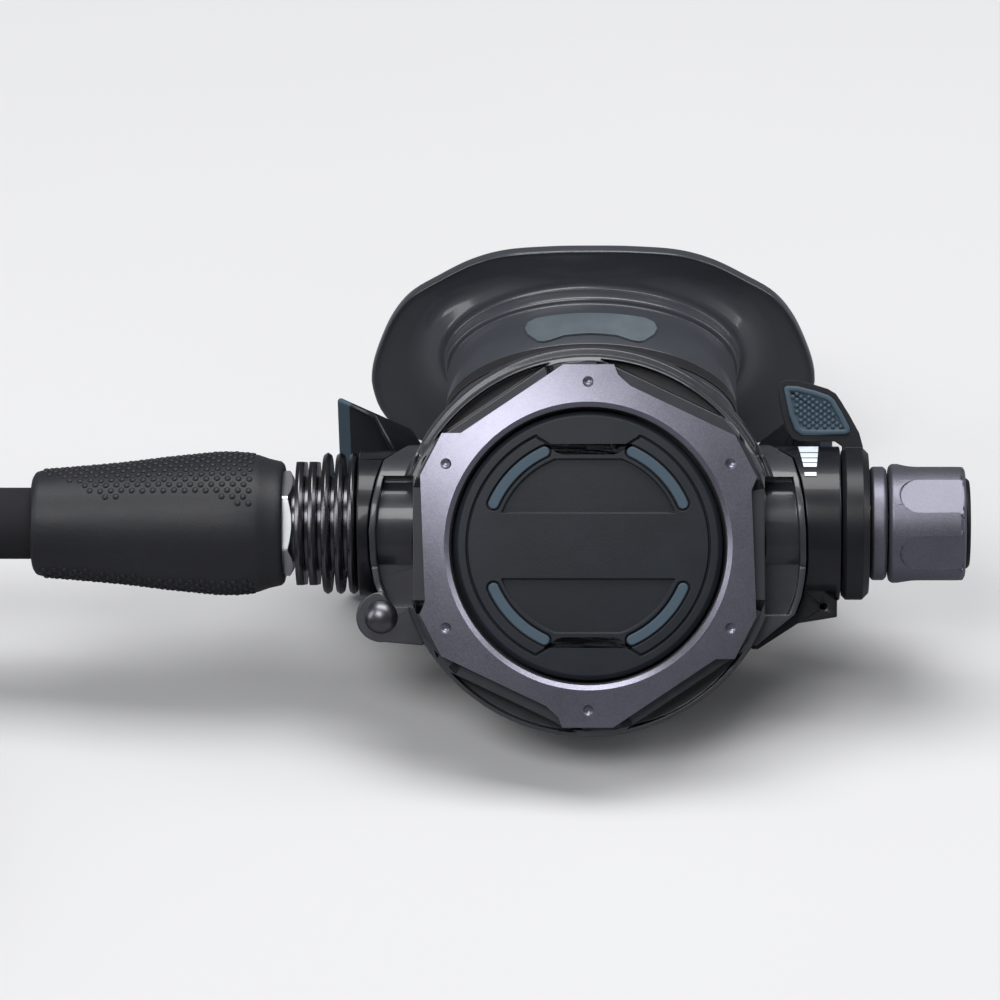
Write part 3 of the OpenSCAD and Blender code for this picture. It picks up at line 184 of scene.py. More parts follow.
class Graph:
    """The node tree of one material, with one method that makes every node."""

    def __init__(self, name: str) -> None:
        """Start an empty material of that name."""
        self.material = bpy.data.materials.new(name)
        self.material.use_nodes = True
        self.tree = self.material.node_tree
        self.tree.nodes.clear()

    def node(self, kind: str, settings: dict | None = None, values: dict | None = None,
             out: int | str = 0) -> Signal:
        """Make a node.

        Args:
            kind: The node's type name.
            settings: Attributes set before any socket; "stops" holds a ramp's (place, colour) pairs.
            values: Numbers, colours or signals, keyed by socket name or place.
            out: The output socket's name or place.

        Returns:
            The chosen output as a signal.
        """
        made = self.tree.nodes.new(kind)
        for key, value in (settings or {}).items():
            if key == "stops":
                self._set_stops(made.color_ramp, value)
            else:
                setattr(made, key, value)
        for key, value in (values or {}).items():
            socket = made.inputs[key]
            if isinstance(value, Signal):
                self.tree.links.new(value.socket, socket)
            elif isinstance(value, tuple) and socket.type == "RGBA" and len(value) == 3:
                socket.default_value = (*value, 1.0)
            else:
                socket.default_value = value
        return Signal(self, made.outputs[out])

    @staticmethod
    def _set_stops(ramp: bpy.types.ColorRamp, stops: Sequence[tuple[float, Colour]]) -> None:
        """Give a ramp these stops."""
        while len(ramp.elements) < len(stops):
            ramp.elements.new(1.0)
        for element, (place, colour) in zip(ramp.elements, stops):
            element.position = place
            element.color = (*colour, 1.0)

    def position(self, scale: Point = (1, 1, 1), turn: Point = (0, 0, 0)) -> Signal:
        """Return the place on the piece, scaled along each axis and turned about it in radians."""
        where = self.node("ShaderNodeTexCoord", out="Object")
        return self.node("ShaderNodeMapping", {}, {"Vector": where, "Scale": scale, "Rotation": turn})

    def noise(self, where: Signal, scale: float, detail: float, roughness: float) -> Signal:
        """Return noise from zero to one, by its features in a metre and its finer layers."""
        return self.node("ShaderNodeTexNoise", {"noise_dimensions": "3D"},
                         {"Vector": where, "Scale": scale, "Detail": detail, "Roughness": roughness})

    def blend(self, share: "float | Signal", first: "Colour | Signal",
              second: "Colour | Signal") -> Signal:
        """Mix two colours, by the share that the second one has."""
        return self.node("ShaderNodeMix", {"data_type": "RGBA"}, {0: share, 6: first, 7: second}, out=2)

    def bump(self, height: Signal, depth: float, under: Signal | None = None) -> Signal:
        """Return a normal from a height.

        Args:
            height: Height from zero to one.
            depth: Real depth of that height, in metres.
            under: A normal that this one is added to.

        Returns:
            A normal signal.
        """
        values = {"Height": height, "Distance": depth, "Strength": 1.0}
        if under is not None:
            values["Normal"] = under
        return self.node("ShaderNodeBump", {}, values)

    def crown(self, slope: float) -> Signal | None:
        """Return the normal of a face that falls away from the cover's centre.

        Args:
            slope: Slope of the face at CROWN_RADIUS, or zero for a flat face.

        Returns:
            A normal signal, or None for a flat face.
        """
        if not slope:
            return None
        tilt = math.atan2(HEAD.up.y, HEAD.up.z)
        turn = Matrix.Rotation(tilt, 3, "X")
        where = self.node("ShaderNodeTexCoord", out="Object")
        flat = self.node("ShaderNodeMapping", {}, {
            "Vector": where, "Rotation": (tilt, 0.0, 0.0), "Location": tuple(-(turn @ HEAD.origin))})
        reach = CROWN_RADIUS * MM
        across, up = flat.axis("X") / reach, flat.axis("Z") / reach
        return self.bump(1 - (across * across + up * up) * 0.5, slope * reach)

    def surface(self, **values: "float | Colour | Signal") -> bpy.types.Material:
        """Finish the material with a Principled shader.

        Args:
            values: Its sockets, with spaces in their names written as underscores.

        Returns:
            The finished material.
        """
        shader = self.node("ShaderNodeBsdfPrincipled", {}, {
            key.replace("_", " "): value for key, value in values.items()})
        output = self.tree.nodes.new("ShaderNodeOutputMaterial")
        self.tree.links.new(shader.socket, output.inputs["Surface"])
        return self.material


# ---- finishes


@dataclass(frozen=True)
class Recipe:
    """What a finish is made from. Lengths and depths of textures are in metres.

    Attributes:
        name: Name of the material.
        colour: Its main colour in linear light.
    """

    name: str
    colour: Colour

    def tinted(self, factor: float, lift: float = 0.0) -> Colour:
        """Return the colour with every channel scaled and then lifted."""
        return tuple(channel * factor + lift for channel in self.colour)

    def make(self) -> bpy.types.Material:
        """Build the material."""
        raise NotImplementedError(self.name)


@dataclass(frozen=True)
class MouldedPlastic(Recipe):
    """Moulded nylon or ABS, from soft matt to high gloss.

    Attributes:
        gloss: Zero for matt and one for a polished mould.
        grain: Features of the mould's texture in a metre.
        relief: Depth of that texture.
        coat: Weight of the clear skin that a polished mould leaves.
        slope: Slope at CROWN_RADIUS of a face that falls away from the cover's centre.
        mirror: How strongly it mirrors, where 0.5 is plain plastic.
    """

    gloss: float
    grain: float = 2600.0
    relief: float = 2e-5
    coat: float = 0.0
    slope: float = 0.0
    mirror: float = 0.5

    def make(self) -> bpy.types.Material:
        """Build the material, with hazy patches and stretched smears."""
        graph = Graph(self.name)
        where = graph.position()
        smeared = graph.position(scale=(1, 1, 4), turn=(0.3, 0.2, 0.5))
        grain = graph.noise(where, self.grain, detail=3.0, roughness=0.6)
        haze = graph.noise(where, scale=70.0, detail=4.0, roughness=0.65)
        smears = graph.noise(smeared, scale=45.0, detail=3.0, roughness=0.7)
        rough = 0.62 - 0.5 * self.gloss
        patchy = (haze - 0.5) * 0.16 * (1.2 - self.gloss)
        return graph.surface(
            Base_Color=graph.blend(haze.step(0.35, 0.75), self.colour, self.tinted(1.35, 0.0015)),
            Roughness=rough + patchy + smears.step(0.5, 0.8) * 0.07,
            Normal=graph.bump(grain, self.relief, graph.crown(self.slope)),
            Coat_Weight=self.coat, Coat_Roughness=0.06, Specular_IOR_Level=self.mirror)


@dataclass(frozen=True)
class SatinMetal(Recipe):
    """Metal under a thin satin coating with fine flake.

    Attributes:
        roughness: Mean roughness.
        flake: Flakes in a metre.
        flake_relief: How far the flakes stand out.
        slope: Slope at CROWN_RADIUS of a face that falls away from the cover's centre.
    """

    roughness: float = 0.36
    flake: float = 7000.0
    flake_relief: float = 1.2e-5
    slope: float = 0.0

    def make(self) -> bpy.types.Material:
        """Build the material, with flakes of their own brightness."""
        graph = Graph(self.name)
        where = graph.position()
        flake, sparkle = (
            graph.node("ShaderNodeTexVoronoi", {"feature": "F1"}, {"Vector": where, "Scale": self.flake}, out)
            for out in ("Distance", "Color"))
        cloud = graph.noise(where, scale=60.0, detail=3.0, roughness=0.6)
        share = graph.node("ShaderNodeSeparateColor", {}, {"Color": sparkle})
        bright = share * 0.7 + cloud.step(0.3, 0.7) * 0.3
        return graph.surface(
            Base_Color=graph.blend(bright, self.tinted(0.86), self.tinted(1.3)), Metallic=0.88,
            Roughness=self.roughness + (cloud - 0.5) * 0.1 + (share - 0.5) * 0.08,
            Normal=graph.bump(flake, self.flake_relief, graph.crown(self.slope)))


@dataclass(frozen=True)
class TurnedMetal(Recipe):
    """Bare or plated metal with fine tool marks.

    Attributes:
        roughness: Mean roughness.
        stretch: How the tool marks are stretched along each axis.
        relief: Depth of the tool marks.
    """

    roughness: float = 0.2
    stretch: Point = (1, 1, 1)
    relief: float = 6e-6

    def make(self) -> bpy.types.Material:
        """Build the material, with dull patches."""
        graph = Graph(self.name)
        marks = graph.noise(graph.position(self.stretch), scale=1400.0, detail=3.0, roughness=0.6)
        tarnish = graph.noise(graph.position(), scale=110.0, detail=4.0, roughness=0.6)
        return graph.surface(
            Base_Color=graph.blend(tarnish.step(0.45, 0.8), self.colour, self.tinted(0.72)), Metallic=1.0,
            Roughness=self.roughness + (marks - 0.5) * 0.12 + tarnish.step(0.5, 0.8) * 0.1,
            Normal=graph.bump(marks, self.relief))


@dataclass(frozen=True)
class Rubber(Recipe):
    """Moulded rubber or silicone.

    Attributes:
        roughness: Mean roughness.
        grain: Features of its skin in a metre.
        relief: Depth of its skin.
        coat: Weight of the shine over it.
        dust: How much pale dust lies on it.
    """

    roughness: float = 0.5
    grain: float = 3200.0
    relief: float = 2.5e-5
    coat: float = 0.0
    dust: float = 0.25

    def make(self) -> bpy.types.Material:
        """Build the material, with pale bloom and dust in its grain."""
        graph = Graph(self.name)
        where = graph.position()
        grain = graph.noise(where, self.grain, detail=3.0, roughness=0.65)
        bloom = graph.noise(where, scale=90.0, detail=5.0, roughness=0.7)
        dusty = bloom.step(0.42, 0.85) * self.dust + grain.step(0.55, 0.9) * 0.12
        return graph.surface(
            Base_Color=graph.blend(dusty, self.colour, self.tinted(1.5, 0.012)),
            Roughness=self.roughness + (bloom - 0.5) * 0.2 + (grain - 0.5) * 0.1,
            Normal=graph.bump(grain, self.relief),
            Coat_Weight=self.coat, Coat_Roughness=0.12, Specular_IOR_Level=0.45)


@dataclass(frozen=True)
class Braid(Recipe):
    """Braided nylon over a hose, read from the tube's own map.

    Attributes:
        ends: Strands round the hose in each direction.
        pitch: Hose diameters in which a strand goes once round.
        threads: Threads in a strand.
        relief: Depth of the weave.
    """

    ends: int = 16
    pitch: float = 2.1
    threads: float = 5.0
    relief: float = 3.5e-4

    def make(self) -> bpy.types.Material:
        """Build the material: strands that go over two and under two, with a painted highlight on their
        crests.
        """
        graph = Graph(self.name)
        place = graph.node("ShaderNodeUVMap", {"uv_map": "route"})
        rise, turn = place.axis("X") * (self.ends / self.pitch), place.axis("Y") * self.ends
        left, right = rise + turn, rise - turn
        over = (left.floor() + right.floor()).modulo(4.0).below(2.0)
        under = 1 - over
        height = over * left.arch() * 0.8 + under * right.arch() * 0.8 + left.arch() * right.arch() * 0.2
        yarn = (left * self.threads).arch() * over + (right * self.threads).arch() * under
        fuzz = graph.noise(graph.position(), scale=2600.0, detail=3.0, roughness=0.7)
        # Painted highlight: the base colour turns lighter grey on the crests of the threads in the strand on
        # top. Random fuzz in the yarn lightens it a little too.
        crest_highlight_and_fuzz = height * 0.5 * yarn + fuzz.step(0.5, 0.9) * 0.15
        weave = graph.bump(height, self.relief)
        return graph.surface(
            Base_Color=graph.blend(crest_highlight_and_fuzz, self.colour, self.tinted(4.5, 0.02)), Roughness=0.46 + fuzz * 0.2,
            Normal=graph.bump(yarn * 0.7 + fuzz * 0.3, self.relief * 0.25, weave), Specular_IOR_Level=0.5)


@dataclass(frozen=True)
class Membrane(Recipe):
    """Translucent grey silicone, drawn as a pale solid.

    Attributes:
        relief: Depth of its uneven skin.
    """

    relief: float = 4e-5

    def make(self) -> bpy.types.Material:
        """Build the material."""
        graph = Graph(self.name)
        cloud = graph.noise(graph.position(), scale=120.0, detail=4.0, roughness=0.6)
        return graph.surface(
            Base_Color=graph.blend(cloud.step(0.3, 0.7), self.colour, self.tinted(1.3)),
            Roughness=0.32 + cloud * 0.15, Normal=graph.bump(cloud, self.relief))


class Finish(Enum):
    """Every finish on the regulator."""

    CASE = MouldedPlastic("case_black", (0.0075, 0.008, 0.0115), gloss=0.6, grain=2200.0, relief=1e-5,
                          coat=0.3, mirror=0.35)
    COVER = MouldedPlastic("cover_gloss_black", (0.030, 0.031, 0.039), gloss=0.62, grain=900.0,
                           relief=3e-6, coat=0.5)
    BEZEL = SatinMetal("bezel_purple_grey", (0.25, 0.246, 0.305), roughness=0.34, slope=0.23)
    BUTTON = MouldedPlastic("button_charcoal", (0.0085, 0.0115, 0.017), gloss=0.22, grain=5200.0,
                            relief=3.5e-5, slope=0.09, mirror=0.4)
    ACCENT = Rubber("accent_grey_blue", (0.050, 0.084, 0.116), grain=4200.0, relief=2e-5, dust=0.15)
    BADGE = MouldedPlastic("badge_grey", (0.085, 0.105, 0.122), gloss=0.3, grain=2400.0, relief=6e-6)
    SLEEVE = Rubber("sleeve_skin", (0.0165, 0.017, 0.0215), grain=2800.0, relief=3e-5, dust=0.3)
    SILICONE = Rubber("mouthpiece_silicone", (0.044, 0.048, 0.059), roughness=0.36, grain=1500.0,
                      relief=8e-6, coat=0.6, dust=0.12)
    BRAID = Braid("hose_braid", (0.010, 0.010, 0.012))
    FINS = TurnedMetal("fins_dark_polished", (0.15, 0.145, 0.158), roughness=0.24, stretch=(0.15, 1, 1))
    PIN = TurnedMetal("pin_dark_polished", (0.17, 0.168, 0.19), roughness=0.34)
    CHROME = TurnedMetal("chrome_plate", (0.92, 0.93, 0.95), roughness=0.32, stretch=(6, 1, 1), relief=3e-6)
    STEEL = TurnedMetal("bare_steel", (0.55, 0.55, 0.57), roughness=0.27, stretch=(6, 1, 1), relief=1e-5)
    BRASS = TurnedMetal("turned_brass", (0.62, 0.43, 0.18), roughness=0.24, stretch=(6, 1, 1), relief=1e-5)
    KNOB = SatinMetal("knob_purple_grey", (0.19, 0.188, 0.23), roughness=0.46)
    KNOB_CAP = SatinMetal("cap_purple_grey", (0.028, 0.027, 0.032), roughness=0.5)
    MARKS = MouldedPlastic("printed_marks", (0.72, 0.78, 0.84), gloss=0.3, grain=3000.0, relief=4e-6)
    INNER = MouldedPlastic("inner_nylon", (0.0085, 0.009, 0.012), gloss=0.55, relief=1e-5, mirror=0.4)
    POPPET = MouldedPlastic("poppet_plastic", (0.62, 0.61, 0.56), gloss=0.4, relief=1e-5)
    SEAL = Rubber("seal_rubber", (0.018, 0.018, 0.02), roughness=0.42)
    MEMBRANE = Membrane("membrane_silicone", (0.25, 0.26, 0.28))

    def material(self) -> bpy.types.Material:
        """Return this finish's material, built the first time it is asked for."""
        return bpy.data.materials.get(self.value.name) or self.value.make()


# ---- numbers and meshes


def placed(name: str, data: bpy.types.ID) -> bpy.types.Object:
    """Put an object with this data in the scene."""
    piece = bpy.data.objects.new(name, data)
    bpy.context.scene.collection.objects.link(piece)
    return piece


def as_object(name: str, mesh: bpy.types.Mesh, finish: Finish, body: str) -> bpy.types.Object:
    """Put a finished mesh in the scene and let it ride on a body.

    Args:
        name: Name of the piece.
        mesh: Its mesh, in metres in the row frame.
        finish: Its finish.
        body: The CAD body that carries it.

    Returns:
        The new object.
    """
    mesh.materials.clear()
    mesh.materials.append(finish.material())
    piece = placed(name, mesh)
    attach(piece, body)
    LOG.info("made %s: %d faces on %s", name, len(mesh.polygons), body)
    return piece


def as_mesh(name: str, shape: bmesh.types.BMesh) -> bpy.types.Mesh:
    """Turn a shape into a mesh, and free the shape."""
    mesh = bpy.data.meshes.new(name)
    shape.to_mesh(mesh)
    shape.free()
    return mesh


def baked_mesh(piece: bpy.types.Object) -> bpy.types.Mesh:
    """Return the mesh that an object's modifiers make, and remove the object.

    Args:
        piece: The object.

    Returns:
        The mesh.
    """
    graph = bpy.context.evaluated_depsgraph_get()
    graph.update()
    mesh = bpy.data.meshes.new_from_object(piece.evaluated_get(graph))
    bpy.data.objects.remove(piece)
    return mesh


def smooth_by_angle(mesh: bpy.types.Mesh, degrees: float) -> None:
    """Shade a mesh smooth, with edges sharp from an angle between their faces."""
    mesh.shade_smooth()
    mesh.set_sharp_from_angle(angle=math.radians(degrees))


def skin_mesh(name: str, rings: Sequence[Sequence[Vector]], closed: bool = False) -> bpy.types.Mesh:
    """Join rings of points into a skin with outward faces.

    Args:
        name: Name of the mesh.
        rings: Rings with the same number of points each.
        closed: Whether the last ring joins the first. If not, both ends are filled.

    Returns:
        The mesh.
    """
    shape = bmesh.new()
    rows = [[shape.verts.new(point) for point in ring] for ring in rings]
    pairs = list(zip(rows, rows[1:])) + ([(rows[-1], rows[0])] if closed else [])
    for first, second in pairs:
        for k, corner in enumerate(first):
            after = (k + 1) % len(first)
            shape.faces.new((corner, first[after], second[after], second[k]))
    if not closed:
        shape.faces.new(list(reversed(rows[0])))
        shape.faces.new(rows[-1])
    bmesh.ops.recalc_face_normals(shape, faces=shape.faces)
    return as_mesh(name, shape)


def ramp(t: float) -> float:
    """Return a smooth rise from zero at zero to one at one."""
    t = min(1.0, max(0.0, t))
    return t * t * (3 - 2 * t)


def between(table: Sequence[Point2], at: float) -> float:
    """Read a table of rising places and their values at one place, along straight lines."""
    (a, low), (b, high) = next(pair for pair in zip(table, table[1:]) if pair[0][0] <= at <= pair[1][0])
    return low + (high - low) * (at - a) / max(b - a, TINY)


def catmull(points: Sequence[Vector], parts: int, closed: bool = False) -> list[Vector]:
    """Return a finer line through the same points.

    Args:
        points: The points.
        parts: Pieces into which each stretch is cut.
        closed: Whether the last point joins the first.

    Returns:
        Points on a Catmull-Rom curve.
    """
    if closed:
        ends = [points[-1], *points, points[0], points[1]]
    else:
        ends = [points[0] * 2 - points[1], *points, points[-1] * 2 - points[-2]]
    fine = []
    for a, b, c, d in zip(ends, ends[1:], ends[2:], ends[3:]):
        for k in range(parts):
            t = k / parts
            fine.append(0.5 * (2 * b + (c - a) * t + (2 * a - 5 * b + 4 * c - d) * t * t
                               + (3 * b - 3 * c + d - a) * t ** 3))
    return fine if closed else [*fine, points[-1]]


def round_rectangle(half_w: float, half_h: float, corner: float, per: int) -> list[Point2]:
    """Return a rectangle with round corners.

    Args:
        half_w: Half its width.
        half_h: Half its height.
        corner: Radius of its corners.
        per: Points on each corner.

    Returns:
        Its points, anticlockwise.
    """
    shortest = 0.01
    corner = min(corner, half_w - shortest, half_h - shortest)
    outline = []
    for quarter, (side, up) in enumerate(((1, 1), (-1, 1), (-1, -1), (1, -1))):
        for k in range(per):
            angle = math.pi / 2 * (quarter + k / (per - 1))
            outline.append((side * (half_w - corner) + corner * math.cos(angle),
                            up * (half_h - corner) + corner * math.sin(angle)))
    return outline


@dataclass(frozen=True)
class EdgeRounding:
    """How the edges of a copied CAD solid are rounded.

    Attributes:
        width: Width of the rounding, in millimetres.
        segments: Faces across it.
        fitted: Whether each edge is rounded only as far as the faces beside it leave room.
        from_angle: Angle between faces from which an edge is rounded, in degrees.
        sharp_from: The same for an edge that looks sharp where it isn't rounded.
        weld: Distance under which points are one, in millimetres.
        shortest: Length under which an edge is dropped, in millimetres.
        flat: Angle under which faces are one, in degrees.
        share: Part of the room beside an edge that its rounding may take.
        straight: Cosine from which the next edge carries this one on.
    """

    width: float = 0.25
    segments: int = 3
    fitted: bool = False
    from_angle: float = 32.0
    sharp_from: float = 50.0
    weld: float = 0.003
    shortest: float = 0.012
    flat: float = 0.6
    share: float = 0.42
    straight: float = 0.85

    def _is_sharp(self, edge: bmesh.types.BMEdge) -> bool:
        """Tell whether an edge is to be rounded."""
        return len(edge.link_faces) == 2 and edge.calc_face_angle(0) >= math.radians(self.from_angle)

    def _room(self, edge: bmesh.types.BMEdge, corner: bmesh.types.BMVert) -> float:
        """Return how wide the faces are beside an edge at one of its ends.

        Args:
            edge: The edge to be rounded.
            corner: One of its ends.

        Returns:
            The least reach of the other edges there, square to this one, in metres.
        """
        ahead = (edge.other_vert(corner).co - corner.co).normalized()
        room = math.inf
        for other in corner.link_edges:
            if other is edge:
                continue
            way = other.other_vert(corner).co - corner.co
            along = way.dot(ahead) / max(way.length, TINY)
            if along >= -self.straight or not self._is_sharp(other):
                room = min(room, way.length * math.sqrt(max(0.0, 1 - along * along)))
        return room

    def _weigh(self, shape: bmesh.types.BMesh) -> None:
        """Give each sharp edge a share of the rounding that the faces beside it leave room for.

        Faces with many corners are then cut into triangles, so that none can fold over a hole.

        Args:
            shape: The solid.
        """
        shares = shape.edges.layers.float.new("bevel_weight_edge")
        for edge in shape.edges:
            if self._is_sharp(edge):
                room = min(self._room(edge, corner) for corner in edge.verts)
                edge[shares] = min(1.0, self.share * room / (self.width * MM))
        wide = [face for face in shape.faces if len(face.verts) > 4]
        bmesh.ops.triangulate(shape, faces=wide, quad_method="BEAUTY", ngon_method="BEAUTY")

    def _clean(self, name: str, source: bpy.types.Object) -> bpy.types.Mesh:
        """Return a copy of a CAD solid without needless points and edges, ready for its rounding.

        Args:
            name: Name of the copy.
            source: The CAD node's object.

        Returns:
            The copy's mesh.
        """
        shape = bmesh.new()
        shape.from_mesh(source.data)
        bmesh.ops.remove_doubles(shape, verts=shape.verts, dist=self.weld * MM)
        bmesh.ops.dissolve_degenerate(shape, edges=shape.edges, dist=self.shortest * MM)
        bmesh.ops.dissolve_limit(
            shape, angle_limit=math.radians(self.flat), verts=shape.verts, edges=shape.edges)
        bmesh.ops.recalc_face_normals(shape, faces=shape.faces)
        if self.fitted:
            self._weigh(shape)
        return as_mesh(name, shape)

    def apply(self, name: str, source: bpy.types.Object) -> bpy.types.Mesh:
        """Return a rounded copy of a CAD solid.

        Args:
            name: Name of the copy.
            source: The CAD node's object.

        Returns:
            The copy's mesh.
        """
        plain = self._clean(name, source)
        carrier = placed(name + "_plain", plain)
        if self.width > 0:
            bevel = carrier.modifiers.new("round", "BEVEL")
            bevel.width = self.width * MM
            bevel.segments = self.segments
            bevel.limit_method = "WEIGHT" if self.fitted else "ANGLE"
            bevel.angle_limit = math.radians(self.from_angle)
            bevel.use_clamp_overlap = not self.fitted
            bevel.miter_outer = "MITER_ARC"
        carrier.modifiers.new("normals", "WEIGHTED_NORMAL").keep_sharp = True
        smooth_by_angle(plain, self.sharp_from)
        mesh = baked_mesh(carrier)
        bpy.data.meshes.remove(plain)
        mesh.name = name
        return mesh


def dressed(node: str, finish: Finish, rounding: EdgeRounding | None = None) -> bpy.types.Object:
    """Give a CAD node its finish, on a copy with rounded edges where asked.

    Args:
        node: The CAD node.
        finish: Its finish.
        rounding: How its edges are rounded, or None to leave them.

    Returns:
        The object that shows.
    """
    source = frame["nodes"][node]
    if rounding is None:
        source.data.materials.clear()
        source.data.materials.append(finish.material())
        LOG.info("dressed %s", node)
        return source
    name = node + "_finished"
    piece = as_object(name, rounding.apply(name, source), finish, source["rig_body"])
    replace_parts(piece, node)
    return piece


# ---- domes by Geometry Nodes


@dataclass
class DomeField:
    """Low round domes set on given points, each turned to its own direction.

    Attributes:
        name: Name of the piece.
        finish: Its finish.
        body: The CAD body that carries it.
        radius: Radius of a dome's foot, in millimetres.
        rise: Height of a dome, in millimetres.
        sides: Faces round a dome.
        rings: Rows of faces from one end of a whole ball to the other.
    """

    name: str
    finish: Finish
    body: str
    radius: float
    rise: float
    sides: int
    rings: int = 6

    def _tree(self) -> bpy.types.NodeTree:
        """Build the tree that sets a flattened ball on every point."""
        tree = bpy.data.node_groups.new("domes_on_points", "GeometryNodeTree")
        for label, kind in (("Geometry", "Geometry"), ("Radius", "Float"), ("Rise", "Float"),
                            ("Sides", "Int"), ("Finish", "Material")):
            tree.interface.new_socket(label, in_out="INPUT", socket_type="NodeSocket" + kind)
        tree.interface.new_socket("Geometry", in_out="OUTPUT", socket_type="NodeSocketGeometry")
        entry, leave, ball, size, aim, turn, spread, solid, smooth, paint = map(tree.nodes.new, (
            "NodeGroupInput", "NodeGroupOutput", "GeometryNodeMeshUVSphere", "ShaderNodeCombineXYZ",
            "GeometryNodeInputNamedAttribute", "FunctionNodeAlignRotationToVector",
            "GeometryNodeInstanceOnPoints", "GeometryNodeRealizeInstances", "GeometryNodeSetShadeSmooth",
            "GeometryNodeSetMaterial"))
        ball.inputs["Rings"].default_value = self.rings
        ball.inputs["Radius"].default_value = 1.0
        aim.data_type = "FLOAT_VECTOR"
        aim.inputs["Name"].default_value = "aim"
        turn.axis = "Z"
        for source, output, target, entrance in (
                (entry, "Sides", ball, "Segments"), (entry, "Radius", size, "X"),
                (entry, "Radius", size, "Y"), (entry, "Rise", size, "Z"), (aim, 0, turn, "Vector"),
                (entry, "Geometry", spread, "Points"),
                (ball, "Mesh", spread, "Instance"), (turn, "Rotation", spread, "Rotation"),
                (size, "Vector", spread, "Scale"), (spread, "Instances", solid, "Geometry"),
                (solid, "Geometry", smooth, "Geometry"), (smooth, "Geometry", paint, "Geometry"),
                (entry, "Finish", paint, "Material"), (paint, "Geometry", leave, "Geometry")):
            tree.links.new(source.outputs[output], target.inputs[entrance])
        return tree

    def build(self, spots: Iterable[tuple[Vector, Vector]]) -> bpy.types.Object:
        """Set the domes.

        Args:
            spots: Places and directions, in the row frame.

        Returns:
            The piece.
        """
        places, directions = zip(*spots)
        cloud = bpy.data.meshes.new(self.name + "_spots")
        cloud.from_pydata(places, [], [])
        aims = cloud.attributes.new("aim", "FLOAT_VECTOR", "POINT")
        for item, direction in zip(aims.data, directions):
            item.vector = direction
        carrier = placed(self.name + "_carrier", cloud)
        tree = bpy.data.node_groups.get("domes_on_points") or self._tree()
        maker = carrier.modifiers.new("domes", "NODES")
        maker.node_group = tree
        sizes = {"Radius": self.radius * MM, "Rise": self.rise * MM, "Sides": self.sides,
                 "Finish": self.finish.material()}
        for item in tree.interface.items_tree:
            if item.in_out == "INPUT" and item.name in sizes:
                maker[item.identifier] = sizes[item.name]
        return as_object(self.name, baked_mesh(carrier), self.finish, self.body)


# ---- hose


